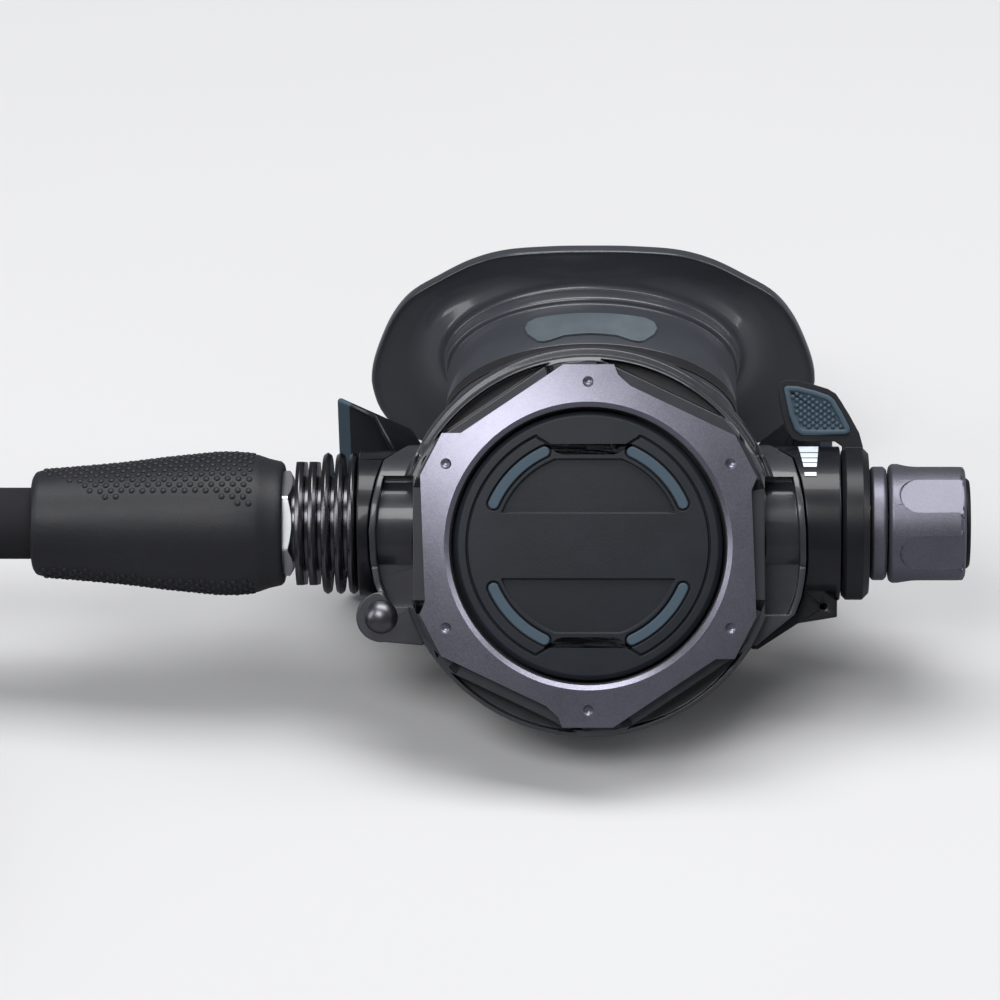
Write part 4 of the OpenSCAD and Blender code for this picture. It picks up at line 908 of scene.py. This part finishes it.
@dataclass
class BraidedHose:
    """Braided hose: straight out of the sleeve, down to the ground and once and a quarter round.

    All lengths are in millimetres.

    Attributes:
        radius: Outer radius.
        run: Places along the valve axis that it passes before the coil.
        top: Depth and height in the row frame of the valve axis.
        coil_centre: Centre of the coil on the ground.
        coil_radius: Radius of its first turn.
        growth: Growth of that radius in one turn.
        turns: Number of turns.
        steps: Points of the route in one turn.
        strap: Thickness of the strap under it.
        gap: Air left under the strap, and under the ferrule.
        ferrule_radius: Radius of the ferrule at its far end.
        high: Distance before the coil at which it starts to sink.
        drop: Length over which it sinks to the ground.
        lift: Distance before the coil's end at which it starts to rise.
        rise: Length over which it rises to the ferrule's height.
        sides: Faces round it.
        finer: Rings of the skin in each stretch of the route.
    """

    radius: float = 6.75
    run: tuple[float, ...] = (-93.3, -110, -125, -139, -154, -169, -185)
    top: Point2 = (-11, 34)
    coil_centre: Point2 = (-199, -72)
    coil_radius: float = 61
    growth: float = 14.5
    turns: float = 1.25
    steps: int = 24
    strap: float = 0.8
    gap: float = 0.1
    ferrule_radius: float = 8.2
    high: float = 74
    drop: float = 128
    lift: float = 32
    rise: float = 30
    sides: int = 48
    finer: int = 6

    @property
    def low(self) -> float:
        """Height of the hose's middle where it lies on its strap."""
        return self.radius + self.gap + self.strap

    @property
    def far(self) -> float:
        """Height of the hose's middle where it lies on its ferrule."""
        return max(self.ferrule_radius, self.low) + self.gap

    def height(self, s: float, total: float) -> float:
        """Return how high the hose's middle is, by its place along a coil of this total length."""
        return self.low + (self.top[1] - self.low) * (1 - ramp((self.high + s) / self.drop)) \
            + (self.far - self.low) * ramp((s - total + self.lift) / self.rise)

    def route(self) -> list[Vector]:
        """Return the points that the hose follows, in metres."""
        x, y = self.coil_centre
        grow = self.growth / self.steps
        along = [TAU * i / self.steps * (self.coil_radius + grow * i / 2)
                 for i in range(round(self.turns * self.steps) + 1)]
        points = [Vector((place, self.top[0], self.height(x - place, along[-1]))) for place in self.run]
        for i, s in enumerate(along):
            angle = math.pi / 2 + TAU * i / self.steps
            r = self.coil_radius + grow * i
            height = self.height(s, along[-1])
            points.append(Vector((x + r * math.cos(angle), y + r * math.sin(angle), height)))
        last = points[-1]
        points.append(Vector((last.x, last.y - 2 * self.radius, self.far)))
        return [point * MM for point in points]

    def build(self) -> bpy.types.Object:
        """Make the hose, its tie and its far fitting."""
        path = catmull(self.route(), self.finer)
        tangents = [(b - a).normalized() for a, b in zip([path[0], *path], [*path[1:], path[-1]])]
        tangents[0], tangents[-1] = Vector((-1, 0, 0)), Vector((0, -1, 0))
        rings = []
        for point, ahead in zip(path, tangents):
            side = ahead.cross(Vector((0, 0, 1))).normalized()
            top = side.cross(ahead)
            rings.append([point + (side * math.cos(a) + top * math.sin(a)) * self.radius * MM
                          for a in (TAU * k / self.sides for k in range(self.sides))])
        mesh = skin_mesh("braided_hose", rings)
        smooth_by_angle(mesh, degrees=60)
        self._map(mesh, path)
        hose = as_object("braided_hose", mesh, Finish.BRAID, "case")
        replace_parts(hose, "hose_run", "hose_coil")
        length = sum((b - a).length for a, b in zip(path, path[1:]))
        LOG.info("hose is %.1f mm long", length / MM)
        on_it = [dressed("hose_tie", Finish.SEAL, EdgeRounding(0.2)),
                 dressed("far_ferrule", Finish.STEEL, EdgeRounding(0.2)),
                 dressed("first_stage_fitting", Finish.CHROME, EdgeRounding(0.2)),
                 dressed("fitting_oring", Finish.SEAL, EdgeRounding(0.0))]
        tuple(path[0])
        [tuple(point) for point in path]
        return hose

    def _map(self, mesh: bpy.types.Mesh, path: Sequence[Vector]) -> None:
        """Write the braid's map: diameters along the hose, and turns round it.

        Args:
            mesh: The hose's mesh.
            path: Its middle at each ring of points, in metres.
        """
        reach = [0.0]
        for a, b in zip(path, path[1:]):
            reach.append(reach[-1] + (b - a).length / (2 * self.radius * MM))
        places = mesh.uv_layers.new(name="route")
        for face in mesh.polygons:
            spots = [divmod(mesh.loops[k].vertex_index, self.sides) for k in face.loop_indices]
            wraps = len(spots) == 4 and {0, self.sides - 1} <= {spot[1] for spot in spots}
            for k, (ring, spot) in zip(face.loop_indices, spots):
                turn = (spot + (self.sides if wraps and spot == 0 else 0)) / self.sides
                places.data[k].uv = (reach[ring], turn)


# ---- left side


@dataclass
class HoseSide:
    """Fins, hose nut and the rubber sleeve with its fields of grip domes.

    The band without domes lies on the front. Its edges are turns round the sleeve in degrees.

    Attributes:
        sleeve_end: Place of the sleeve's right end along the valve axis.
        length: Length of the sleeve.
        profile: Distance from its left end and radius there.
        rows: Rings of domes.
        first_row: Distance of the first ring from the left end.
        row_step: Distance between rings.
        pitch: Half the distance between the domes of a ring.
        band_top: Upper edge of the band at the left end.
        band_steps: How far that edge then turns, from where and over which length.
        band_foot: Lower edge of the band at both ends.
        band_sag: How far that edge turns further down in the middle.
        band_span: Length from one end of the sag to the other.
    """

    sleeve_end: float = -57.5
    length: float = 47.5
    profile: tuple[Point2, ...] = ((1.6, 10.0), (8, 10.5), (17, 11.3), (26, 12.4), (35, 13.3), (38.5, 13.3),
                                   (42.5, 12.95), (44.7, 12.2))
    rows: int = 40
    first_row: float = 2.4
    row_step: float = 1.0
    pitch: float = 1.3
    band_top: float = 64
    band_steps: tuple[Point, ...] = ((-42, 2, 14), (6, 12, 10), (-14, 28, 16))
    band_foot: float = -52
    band_sag: float = 5
    band_span: float = 46

    def smooth_band(self, along: float) -> tuple[float, float]:
        """Find the band without domes in one ring.

        Args:
            along: Distance of the ring from the left end.

        Returns:
            The band's lower and upper edge, in radians.
        """
        lower = self.band_foot - self.band_sag * math.sin(along / self.band_span * math.pi)
        upper = self.band_top + sum(
            rise * ramp((along - start) / over) for rise, start, over in self.band_steps)
        return math.radians(lower), math.radians(upper)

    def spots(self) -> Iterable[tuple[Vector, Vector]]:
        """Yield the place and direction of each dome."""
        for row in range(self.rows):
            along = self.first_row + row * self.row_step
            radius = between(self.profile, along)
            ring = round(TAU * radius / (2 * self.pitch))
            low, high = self.smooth_band(along)
            for k in range(ring):
                angle = (TAU * (k + (row % 2) / 2) / ring + math.pi) % TAU - math.pi
                facing = angle if abs(angle) <= math.pi / 2 else math.copysign(math.pi, angle) - angle
                if not low < facing < high:
                    x = self.sleeve_end - self.length + along
                    place = HEAD.on_valve(x, radius, angle)
                    yield place, (place - HEAD.on_valve(x, 0, 0)).normalized()

    def build(self) -> None:
        """Dress the pieces and set the domes."""
        dressed("heat_exchanger", Finish.FINS, EdgeRounding(0.16))
        dressed("inlet_oring", Finish.SEAL)
        dressed("hose_nut", Finish.CHROME, EdgeRounding(0.2))
        dressed("hose_ferrule", Finish.STEEL, EdgeRounding(0.2))
        dressed("hose_protector", Finish.SLEEVE, EdgeRounding(0.35))
        domes = DomeField("sleeve_domes", Finish.SLEEVE, "sleeve", radius=0.62, rise=0.34, sides=8)
        domes.build(self.spots())


# ---- right side


@dataclass
class KnobSide:
    """Venturi lever with its rubber pad, printed marks, packing nut and adjusting knob.

    Attributes:
        pad: Outline of the pad's inlay on the face, clockwise.
        front: Depth of the pad's raised border.
        floor: Depth of the pad's face inside its border.
        border: Distance inwards and depth over the pad's border, from its foot to that face.
        mitre: Least cosine by which a corner is drawn further in.
        corner: Place of the first bump's column and row.
        step: Distance between bumps across and up.
        grid: Columns and rows of bumps.
        margin: Least distance of a bump from the outline.
    """

    pad: tuple[Point2, ...] = ((36.5, 29.6), (37.1, 30), (39.2, 29.9), (42.4, 29.1), (45, 28.2), (46, 27.4),
                               (47.5, 24.9), (48.9, 22.2), (49, 21.2), (48.1, 20.7), (43.6, 20.6),
                               (39.8, 20.7), (38.5, 21.6), (37.4, 24.6))
    front: float = 18.75
    floor: float = 19.15
    border: tuple[Point2, ...] = ((0.0, 20.1), (0.0, 19.1), (0.08, 18.9), (0.22, 18.79), (0.4, front),
                                  (0.75, front), (0.92, 18.8), (1.04, 18.93), (1.1, 19.08), (1.2, floor))
    mitre: float = 0.4
    corner: Point2 = (36, 20.6)
    step: Point2 = (1.5, 0.56)
    grid: tuple[int, int] = (10, 20)
    margin: float = 1.35

    @property
    def sides(self) -> list[tuple[Vector, Vector]]:
        """Ends of each side of the pad's outline."""
        corners = [Vector(corner) for corner in self.pad]
        return list(zip(corners, [*corners[1:], corners[0]]))

    def inset(self, margin: float, depth: float) -> list[Vector]:
        """Return the pad's outline drawn in by a margin, at a depth.

        Args:
            margin: Distance inwards, in millimetres.
            depth: Depth behind the bezel's face.

        Returns:
            Its points in metres.
        """
        ring = []
        sides = self.sides
        for (before, here), (_, after) in zip([sides[-1], *sides], sides):
            ways = [(here - before).normalized(), (after - here).normalized()]
            inward = sum((Vector((way.y, -way.x)) for way in ways), Vector((0, 0)))
            inward = inward.normalized() / max(self.mitre, inward.length / 2)
            spot = here + inward * margin
            ring.append(HEAD.place(spot.x, depth, spot.y))
        return ring

    def inside(self, x: float, u: float) -> bool:
        """Tell whether a bump is far enough inside the pad's outline.

        Args:
            x: Its place across.
            u: Its place up the face.

        Returns:
            True where it is.
        """
        for (ax, au), (bx, bu) in zip(self.pad, [*self.pad[1:], self.pad[0]]):
            across = (bx - ax) * (u - au) - (bu - au) * (x - ax)
            if across / math.hypot(bx - ax, bu - au) > -self.margin:
                return False
        return True

    def spots(self) -> Iterable[tuple[Vector, Vector]]:
        """Yield the place and direction of each bump."""
        columns, rows = self.grid
        for row in range(rows):
            for column in range(columns):
                x = self.corner[0] + (column + (row % 2) / 2) * self.step[0]
                u = self.corner[1] + row * self.step[1]
                if self.inside(x, u):
                    yield HEAD.place(x, self.floor, u), -HEAD.inward

    def pad_mesh(self) -> bpy.types.Mesh:
        """Return the pad, with a round raised border."""
        mesh = skin_mesh("lever_pad_finished", [self.inset(*station) for station in self.border])
        smooth_by_angle(mesh, degrees=40)
        return mesh

    def build(self) -> None:
        """Dress the pieces and set the bumps."""
        dressed("venturi_lever", Finish.INNER, EdgeRounding(0.4, segments=4))
        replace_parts(as_object("lever_pad_finished", self.pad_mesh(), Finish.ACCENT, "venturi"), "lever_pad")
        dressed("venturi_vane", Finish.INNER)
        dressed("scale_marks", Finish.MARKS)
        dressed("knob_collar", Finish.KNOB, EdgeRounding(0.2))
        dressed("adjust_knob", Finish.KNOB, EdgeRounding(0.3, fitted=True))
        dressed("knob_cap", Finish.KNOB_CAP, EdgeRounding(0.2))
        dressed("adjust_screw", Finish.STEEL)
        dressed("screw_oring", Finish.SEAL)
        bumps = DomeField("pad_bumps", Finish.ACCENT, "venturi", radius=0.46, rise=0.34, sides=12)
        bumps.build(self.spots())


# ---- head


class Head:
    """Case, front cover, bezel ring, purge button and what is behind it."""

    def build(self) -> None:
        """Dress the pieces."""
        dressed("case_body", Finish.CASE, EdgeRounding(0.3, fitted=True))
        dressed("front_cover", Finish.COVER, EdgeRounding(0.25, fitted=True))
        dressed("bezel_ring", Finish.BEZEL, EdgeRounding(0.3))
        dressed("purge_button", Finish.BUTTON, EdgeRounding(0.25))
        dressed("purge_accents", Finish.ACCENT, EdgeRounding(0.2))
        dressed("lock_pin", Finish.PIN, EdgeRounding(0.0))
        for finish, nodes in (
                (Finish.STEEL, ("purge_spring", "diaphragm_plate", "demand_lever", "seat_orifice",
                                "poppet_nut", "poppet_spring")),
                (Finish.BRASS, ("valve_tube", "spring_pad")), (Finish.INNER, ("diaphragm_guard",)),
                (Finish.POPPET, ("poppet",)), (Finish.SEAL, ("poppet_seat",)),
                (Finish.MEMBRANE, ("diaphragm", "exhaust_valve"))):
            for node in nodes:
                dressed(node, finish)


@dataclass(frozen=True)
class Loft:
    """Sections across the mouthpiece's axis, in millimetres from that axis.

    Attributes:
        neck: Half the width and the height of the neck's outside.
        lip: Right half of the lip flange's outline, from the top.
        below: Distance of the axis under the cover's centre.
        foot: Growth of the neck where the flange leaves it.
        bend: Radius to which the flange is bent.
        bend_rate: How many times its way out gives its share of that bend.
        sides: Points round a section.
        finer: Points in each stretch of the flange's outline.
    """

    neck: Point2 = (28.0, 15.9)
    lip: tuple[Point2, ...] = (
        (0, 24.5), (8, 24.2), (16.6, 22.9), (23.5, 20), (30.2, 15.2), (35.5, 10.6), (39.3, 4.6), (42.2, -3.1),
        (43.6, -9), (43.5, -13), (41.9, -17.9), (38.1, -21.7), (31.5, -23.6), (22, -22.6), (13, -19.2),
        (6, -17), (0, -16.6))
    below: float = 5.0
    foot: float = 1.8
    bend: float = 125.0
    bend_rate: float = 3.0
    sides: int = 176
    finer: int = 12

    @property
    def angles(self) -> list[float]:
        """Directions of a section's points."""
        return [TAU * k / self.sides for k in range(self.sides)]

    def place(self, x: float, along: float, z: float) -> Vector:
        """Turn a place on the mouthpiece's axes into the row frame."""
        return HEAD.origin + Vector((x, along, z - self.below)) * MM

    def points(self, reach: Sequence[float], along: float, bent: float = 0.0) -> list[Vector]:
        """Place a section in the row frame.

        Args:
            reach: Distance from the axis in each direction, in millimetres.
            along: Distance of the section behind the cover's centre, in millimetres.
            bent: How far the section follows the bent flange, from zero to one.

        Returns:
            Its points in metres.
        """
        ring = []
        for angle, r in zip(self.angles, reach):
            x = r * math.cos(angle)
            back = along + bent * (self.bend - math.sqrt(self.bend ** 2 - x * x))
            ring.append(self.place(x, back, r * math.sin(angle)))
        return ring

    def oval_ring(self, half_w: float, half_h: float, along: float) -> list[Vector]:
        """Return a straight-sided oval section.

        Args:
            half_w: Half its width.
            half_h: Half its height.
            along: Distance of the section behind the cover's centre.

        Returns:
            Its points in metres.
        """
        straight = half_w - half_h
        reach = []
        for angle in self.angles:
            rise, across = abs(math.sin(angle)), abs(math.cos(angle))
            if rise * straight >= across * half_h:
                reach.append(half_h / rise)
            else:
                reach.append(straight * across + math.sqrt(max(0.0, half_h ** 2 - (straight * rise) ** 2)))
        return self.points(reach, along)

    def neck_reach(self, grow: float) -> list[float]:
        """Return the reach of the neck's outside, an ellipse, in each direction."""
        half_w, half_h = (size + grow for size in self.neck)
        return [1 / math.hypot(math.cos(angle) / half_w, math.sin(angle) / half_h) for angle in self.angles]

    def lip_reach(self) -> list[float]:
        """Return the reach of the flange in each direction."""
        left = [(-x, z) for x, z in reversed(self.lip[1:-1])]
        outline = catmull([Vector((x, z, 0)) for x, z in [*self.lip, *left]], self.finer, closed=True)
        polar = sorted((math.atan2(p.y, p.x) % TAU, p.length) for p in outline)
        polar = [(polar[-1][0] - TAU, polar[-1][1]), *polar, (polar[0][0] + TAU, polar[0][1])]
        return [between(polar, angle) for angle in self.angles]

    def neck_ring(self, along: float, grow: float) -> list[Vector]:
        """Return a section of the neck's outside, grown by a distance."""
        return self.points(self.neck_reach(grow), along)

    def flange_ring(self, along: float, share: float) -> list[Vector]:
        """Return a section between the foot of the flare and the flange's rim."""
        reach = [a + (b - a) * share for a, b in zip(self.neck_reach(self.foot), self.lip_reach())]
        return self.points(reach, along, min(1.0, share * self.bend_rate))


@dataclass(frozen=True)
class Mouth:
    """Mouthpiece with its strap, badge and bite tabs, and the exhaust tee.

    Distances are behind the cover's centre, in millimetres.

    Attributes:
        loft: Sections of the mouthpiece.
        neck: Distance, and growth of the neck there.
        face: Distance, and share of the way out to the rim, over the flange's front.
        back: The same over its back, from the rim in.
        bore: Half the width and the height of the bore.
        lip: Distance, and growth of the bore there, over the inner lip and into the bore.
        socket: Half the width and the height, and distance, where it sits on the case.
        bites: Name, place across, half the width and the height, and root of each bite piece.
        bite_end: Share of the way to its end, and what its outline is drawn in there.
        circle: Distance of the centre, and radius, of the circle that the bite pieces end on.
    """

    loft: Loft = Loft()
    neck: tuple[Point2, ...] = (
        (46.4, -0.3), (46.5, -0.1), (46.75, 0), (47.7, 0), (47.9, -0.08), (47.98, -0.25), (48, -0.95),
        (51.2, -0.95), (51.22, -0.25), (51.3, -0.08), (51.5, 0), (56, 0), (60, 0), (64.4, 0), (64.9, -0.05),
        (65.2, -0.2), (65.4, -0.5), (65.9, -0.55), (66.1, -0.4), (66.2, 0), (66.35, 0.35), (66.7, 0.55),
        (67.2, 0.6), (68.9, 0.6), (69.3, 0.5), (69.6, 0.45), (69.85, 0.6), (70.1, 0.9), (70.3, 1.3))
    face: tuple[Point2, ...] = (
        (70.42, 0.0), (70.55, 0.06), (70.75, 0.18), (70.9, 0.35), (70.95, 0.55), (70.95, 0.75), (70.85, 0.87),
        (70.7, 0.93), (70.55, 0.955), (70.5, 0.97), (70.6, 0.985), (70.85, 0.996), (71.1, 1.0))
    back: tuple[Point2, ...] = (
        (72.2, 1.0), (72.6, 0.994), (72.85, 0.98), (72.95, 0.95), (72.95, 0.7), (72.95, 0.35), (72.95, 0.1))
    bore: Point2 = (19.5, 9)
    lip: tuple[Point2, ...] = (
        (73.0, 3.6), (73.3, 3.15), (73.9, 3.0), (80.2, 3.0), (80.7, 2.75), (80.95, 2.2), (81.0, 1.5),
        (80.95, 0.8), (80.7, 0.25), (80.2, 0.0), (66, 0.0), (56.1, 0.0))
    socket: tuple[Point, ...] = ((22.6, 12.6, 56.1), (22.6, 12.6, 51), (22.6, 12.6, 46.6), (22.9, 12.9, 46.4))
    bites: tuple[tuple[str, float, float, float, float], ...] = (
        ("tab", -23.5, 7.5, 1.6, 74.0), ("ridge", -17.2, 1.2, 5.5, 80.0),
        ("tab", 23.5, 7.5, 1.6, 74.0), ("ridge", 17.2, 1.2, 5.5, 80.0))
    bite_end: tuple[Point2, ...] = (
        (0, 0), (0.25, 0), (0.5, 0), (0.75, 0), (0.93, 0), (0.97, 0.2), (0.99, 0.5), (1, 0.9))
    circle: Point2 = (56, 40)

    def mouthpiece(self) -> bpy.types.Mesh:
        """Return the mouthpiece: one skin over neck, flange, inner lip and bore, with four bite pieces."""
        loft, (half_w, half_h) = self.loft, self.bore
        rings = [loft.neck_ring(*station) for station in self.neck]
        rings += [loft.flange_ring(*station) for station in (*self.face, *self.back)]
        rings += [loft.oval_ring(half_w + grow, half_h + grow, along) for along, grow in self.lip]
        rings += [loft.oval_ring(*station) for station in self.socket]
        shape = bmesh.new()
        for part in (skin_mesh("sections", rings, closed=True), *(self._bite(*bite) for bite in self.bites)):
            shape.from_mesh(part)
            bpy.data.meshes.remove(part)
        mesh = as_mesh("mouthpiece_finished", shape)
        smooth_by_angle(mesh, degrees=55)
        return mesh

    def _bite(self, name: str, x: float, half_w: float, half_h: float, start: float) -> bpy.types.Mesh:
        """Return one bite piece, whose end follows a circle round the mouth.

        Args:
            name: Name of the mesh.
            x: Place of its middle across.
            half_w: Half its width.
            half_h: Half its height.
            start: Distance of its root.

        Returns:
            The mesh.
        """
        centre, radius = self.circle
        rings = []
        for reach, shrink in self.bite_end:
            ring = []
            for across, up in round_rectangle(half_w - shrink, half_h - shrink, corner=1.0, per=6):
                end = centre + math.sqrt(radius ** 2 - (x + across) ** 2)
                ring.append(self.loft.place(x + across, start + (end - start) * reach, up))
            rings.append(ring)
        return skin_mesh(name, rings)

    def build(self) -> None:
        """Make and dress the pieces."""
        piece = as_object("mouthpiece_finished", self.mouthpiece(), Finish.SILICONE, "case")
        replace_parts(piece, "mouthpiece")
        dressed("mouthpiece_clamp", Finish.SEAL, EdgeRounding(0.2))
        dressed("mouthpiece_badge", Finish.BADGE, EdgeRounding(0.15))
        dressed("exhaust_tee", Finish.CASE, EdgeRounding(0.0))
        dressed("tee_trim", Finish.ACCENT, EdgeRounding(0.0))


# ---- studio


@dataclass
class Studio:
    """Camera, pale floor and soft lamps.

    Attributes:
        aim: Place on the cover's face that the camera looks at, in millimetres.
        width: Width of the view there, in millimetres.
        lens: Focal length, in millimetres.
        sensor: Width of the sensor, in millimetres.
        swing: Turn of the camera to its left, in degrees.
        pale: Two colours of the floor, in patches.
        mirrored: Colour of the floor where the part mirrors it.
        floor_reach: Distance of the floor's edge, in metres.
        target: The point that the lamps face, in metres.
        lamps: Name, place, size (both in metres) and power in watts of each lamp.
        surround: Colour and strength of the even light from all sides.
    """

    aim: Point2 = (-16.3, 8.5)
    width: float = 185.0
    lens: float = 214.0
    sensor: float = 36.0
    swing: float = 1.6
    pale: tuple[Colour, Colour] = ((0.70, 0.70, 0.71), (0.74, 0.74, 0.75))
    mirrored: Colour = (0.20, 0.20, 0.22)
    floor_reach: float = 6.0
    target: Point = (0, 0, 0.04)
    lamps: tuple[tuple[str, Point, Point2, float], ...] = (
        ("front_up", (-0.35, -0.7, 1.05), (0.7, 0.45), 6.5),
        ("overhead", (0.05, 0.2, 1.1), (1.1, 0.5), 10),
        ("left_strip", (-1.1, -0.2, 0.5), (0.25, 0.8), 2.5),
        ("right_strip", (1.0, 0.1, 0.5), (0.25, 0.8), 2.5))
    surround: tuple[Colour, float] = ((0.75, 0.77, 0.8), 0.17)

    def camera(self) -> None:
        """Make the camera."""
        data = bpy.data.cameras.new("view")
        data.lens = self.lens
        data.sensor_width = self.sensor
        data.clip_start, data.clip_end = 0.01, 50
        camera = placed("view", data)
        turn = Matrix.Rotation(math.radians(self.swing), 3, HEAD.up)
        ahead = turn @ HEAD.inward
        distance = self.width * self.lens / self.sensor * MM
        camera.location = HEAD.place(self.aim[0], 0, self.aim[1]) - ahead * distance
        right = ahead.cross(HEAD.up).normalized()
        camera.rotation_euler = Matrix((right, right.cross(ahead), -ahead)).transposed().to_euler()
        bpy.context.scene.camera = camera

    def floor(self) -> None:
        """Make the pale floor, which shiny pieces mirror darker than it looks."""
        shape = bmesh.new()
        bmesh.ops.create_grid(shape, x_segments=8, y_segments=8, size=self.floor_reach)
        floor = placed("floor", as_mesh("floor", shape))
        graph = Graph("pale_floor")
        cloud = graph.noise(graph.position(), scale=4.0, detail=3.0, roughness=0.5)
        shiny = graph.node("ShaderNodeLightPath", out="Is Glossy Ray")
        seen = graph.blend(cloud, *self.pale)
        floor.data.materials.append(
            graph.surface(Base_Color=graph.blend(shiny, seen, self.mirrored), Roughness=0.75))

    def light(self) -> None:
        """Make the lamps and the even surround."""
        for name, place, size, power in self.lamps:
            data = bpy.data.lights.new(name, "AREA")
            data.shape = "RECTANGLE"
            data.size, data.size_y = size
            data.energy = power
            lamp = placed(name, data)
            lamp.location = place
            lamp.rotation_euler = (Vector(self.target) - Vector(place)).to_track_quat("-Z", "Y").to_euler()
        world = bpy.data.worlds.new("surround")
        world.use_nodes = True
        colour, strength = self.surround
        background = world.node_tree.nodes["Background"]
        background.inputs["Color"].default_value = (*colour, 1)
        background.inputs["Strength"].default_value = strength
        bpy.context.scene.world = world
        bpy.context.scene.view_settings.view_transform = "Standard"


def main() -> None:
    """Build the scene in order."""
    logging.basicConfig(level=logging.INFO, format="%(name)s: %(message)s")
    studio = Studio()
    studio.camera()
    BraidedHose().build()
    Head().build()
    HoseSide().build()
    KnobSide().build()
    Mouth().build()
    studio.floor()
    studio.light()


if __name__ == "__main__":
    main()
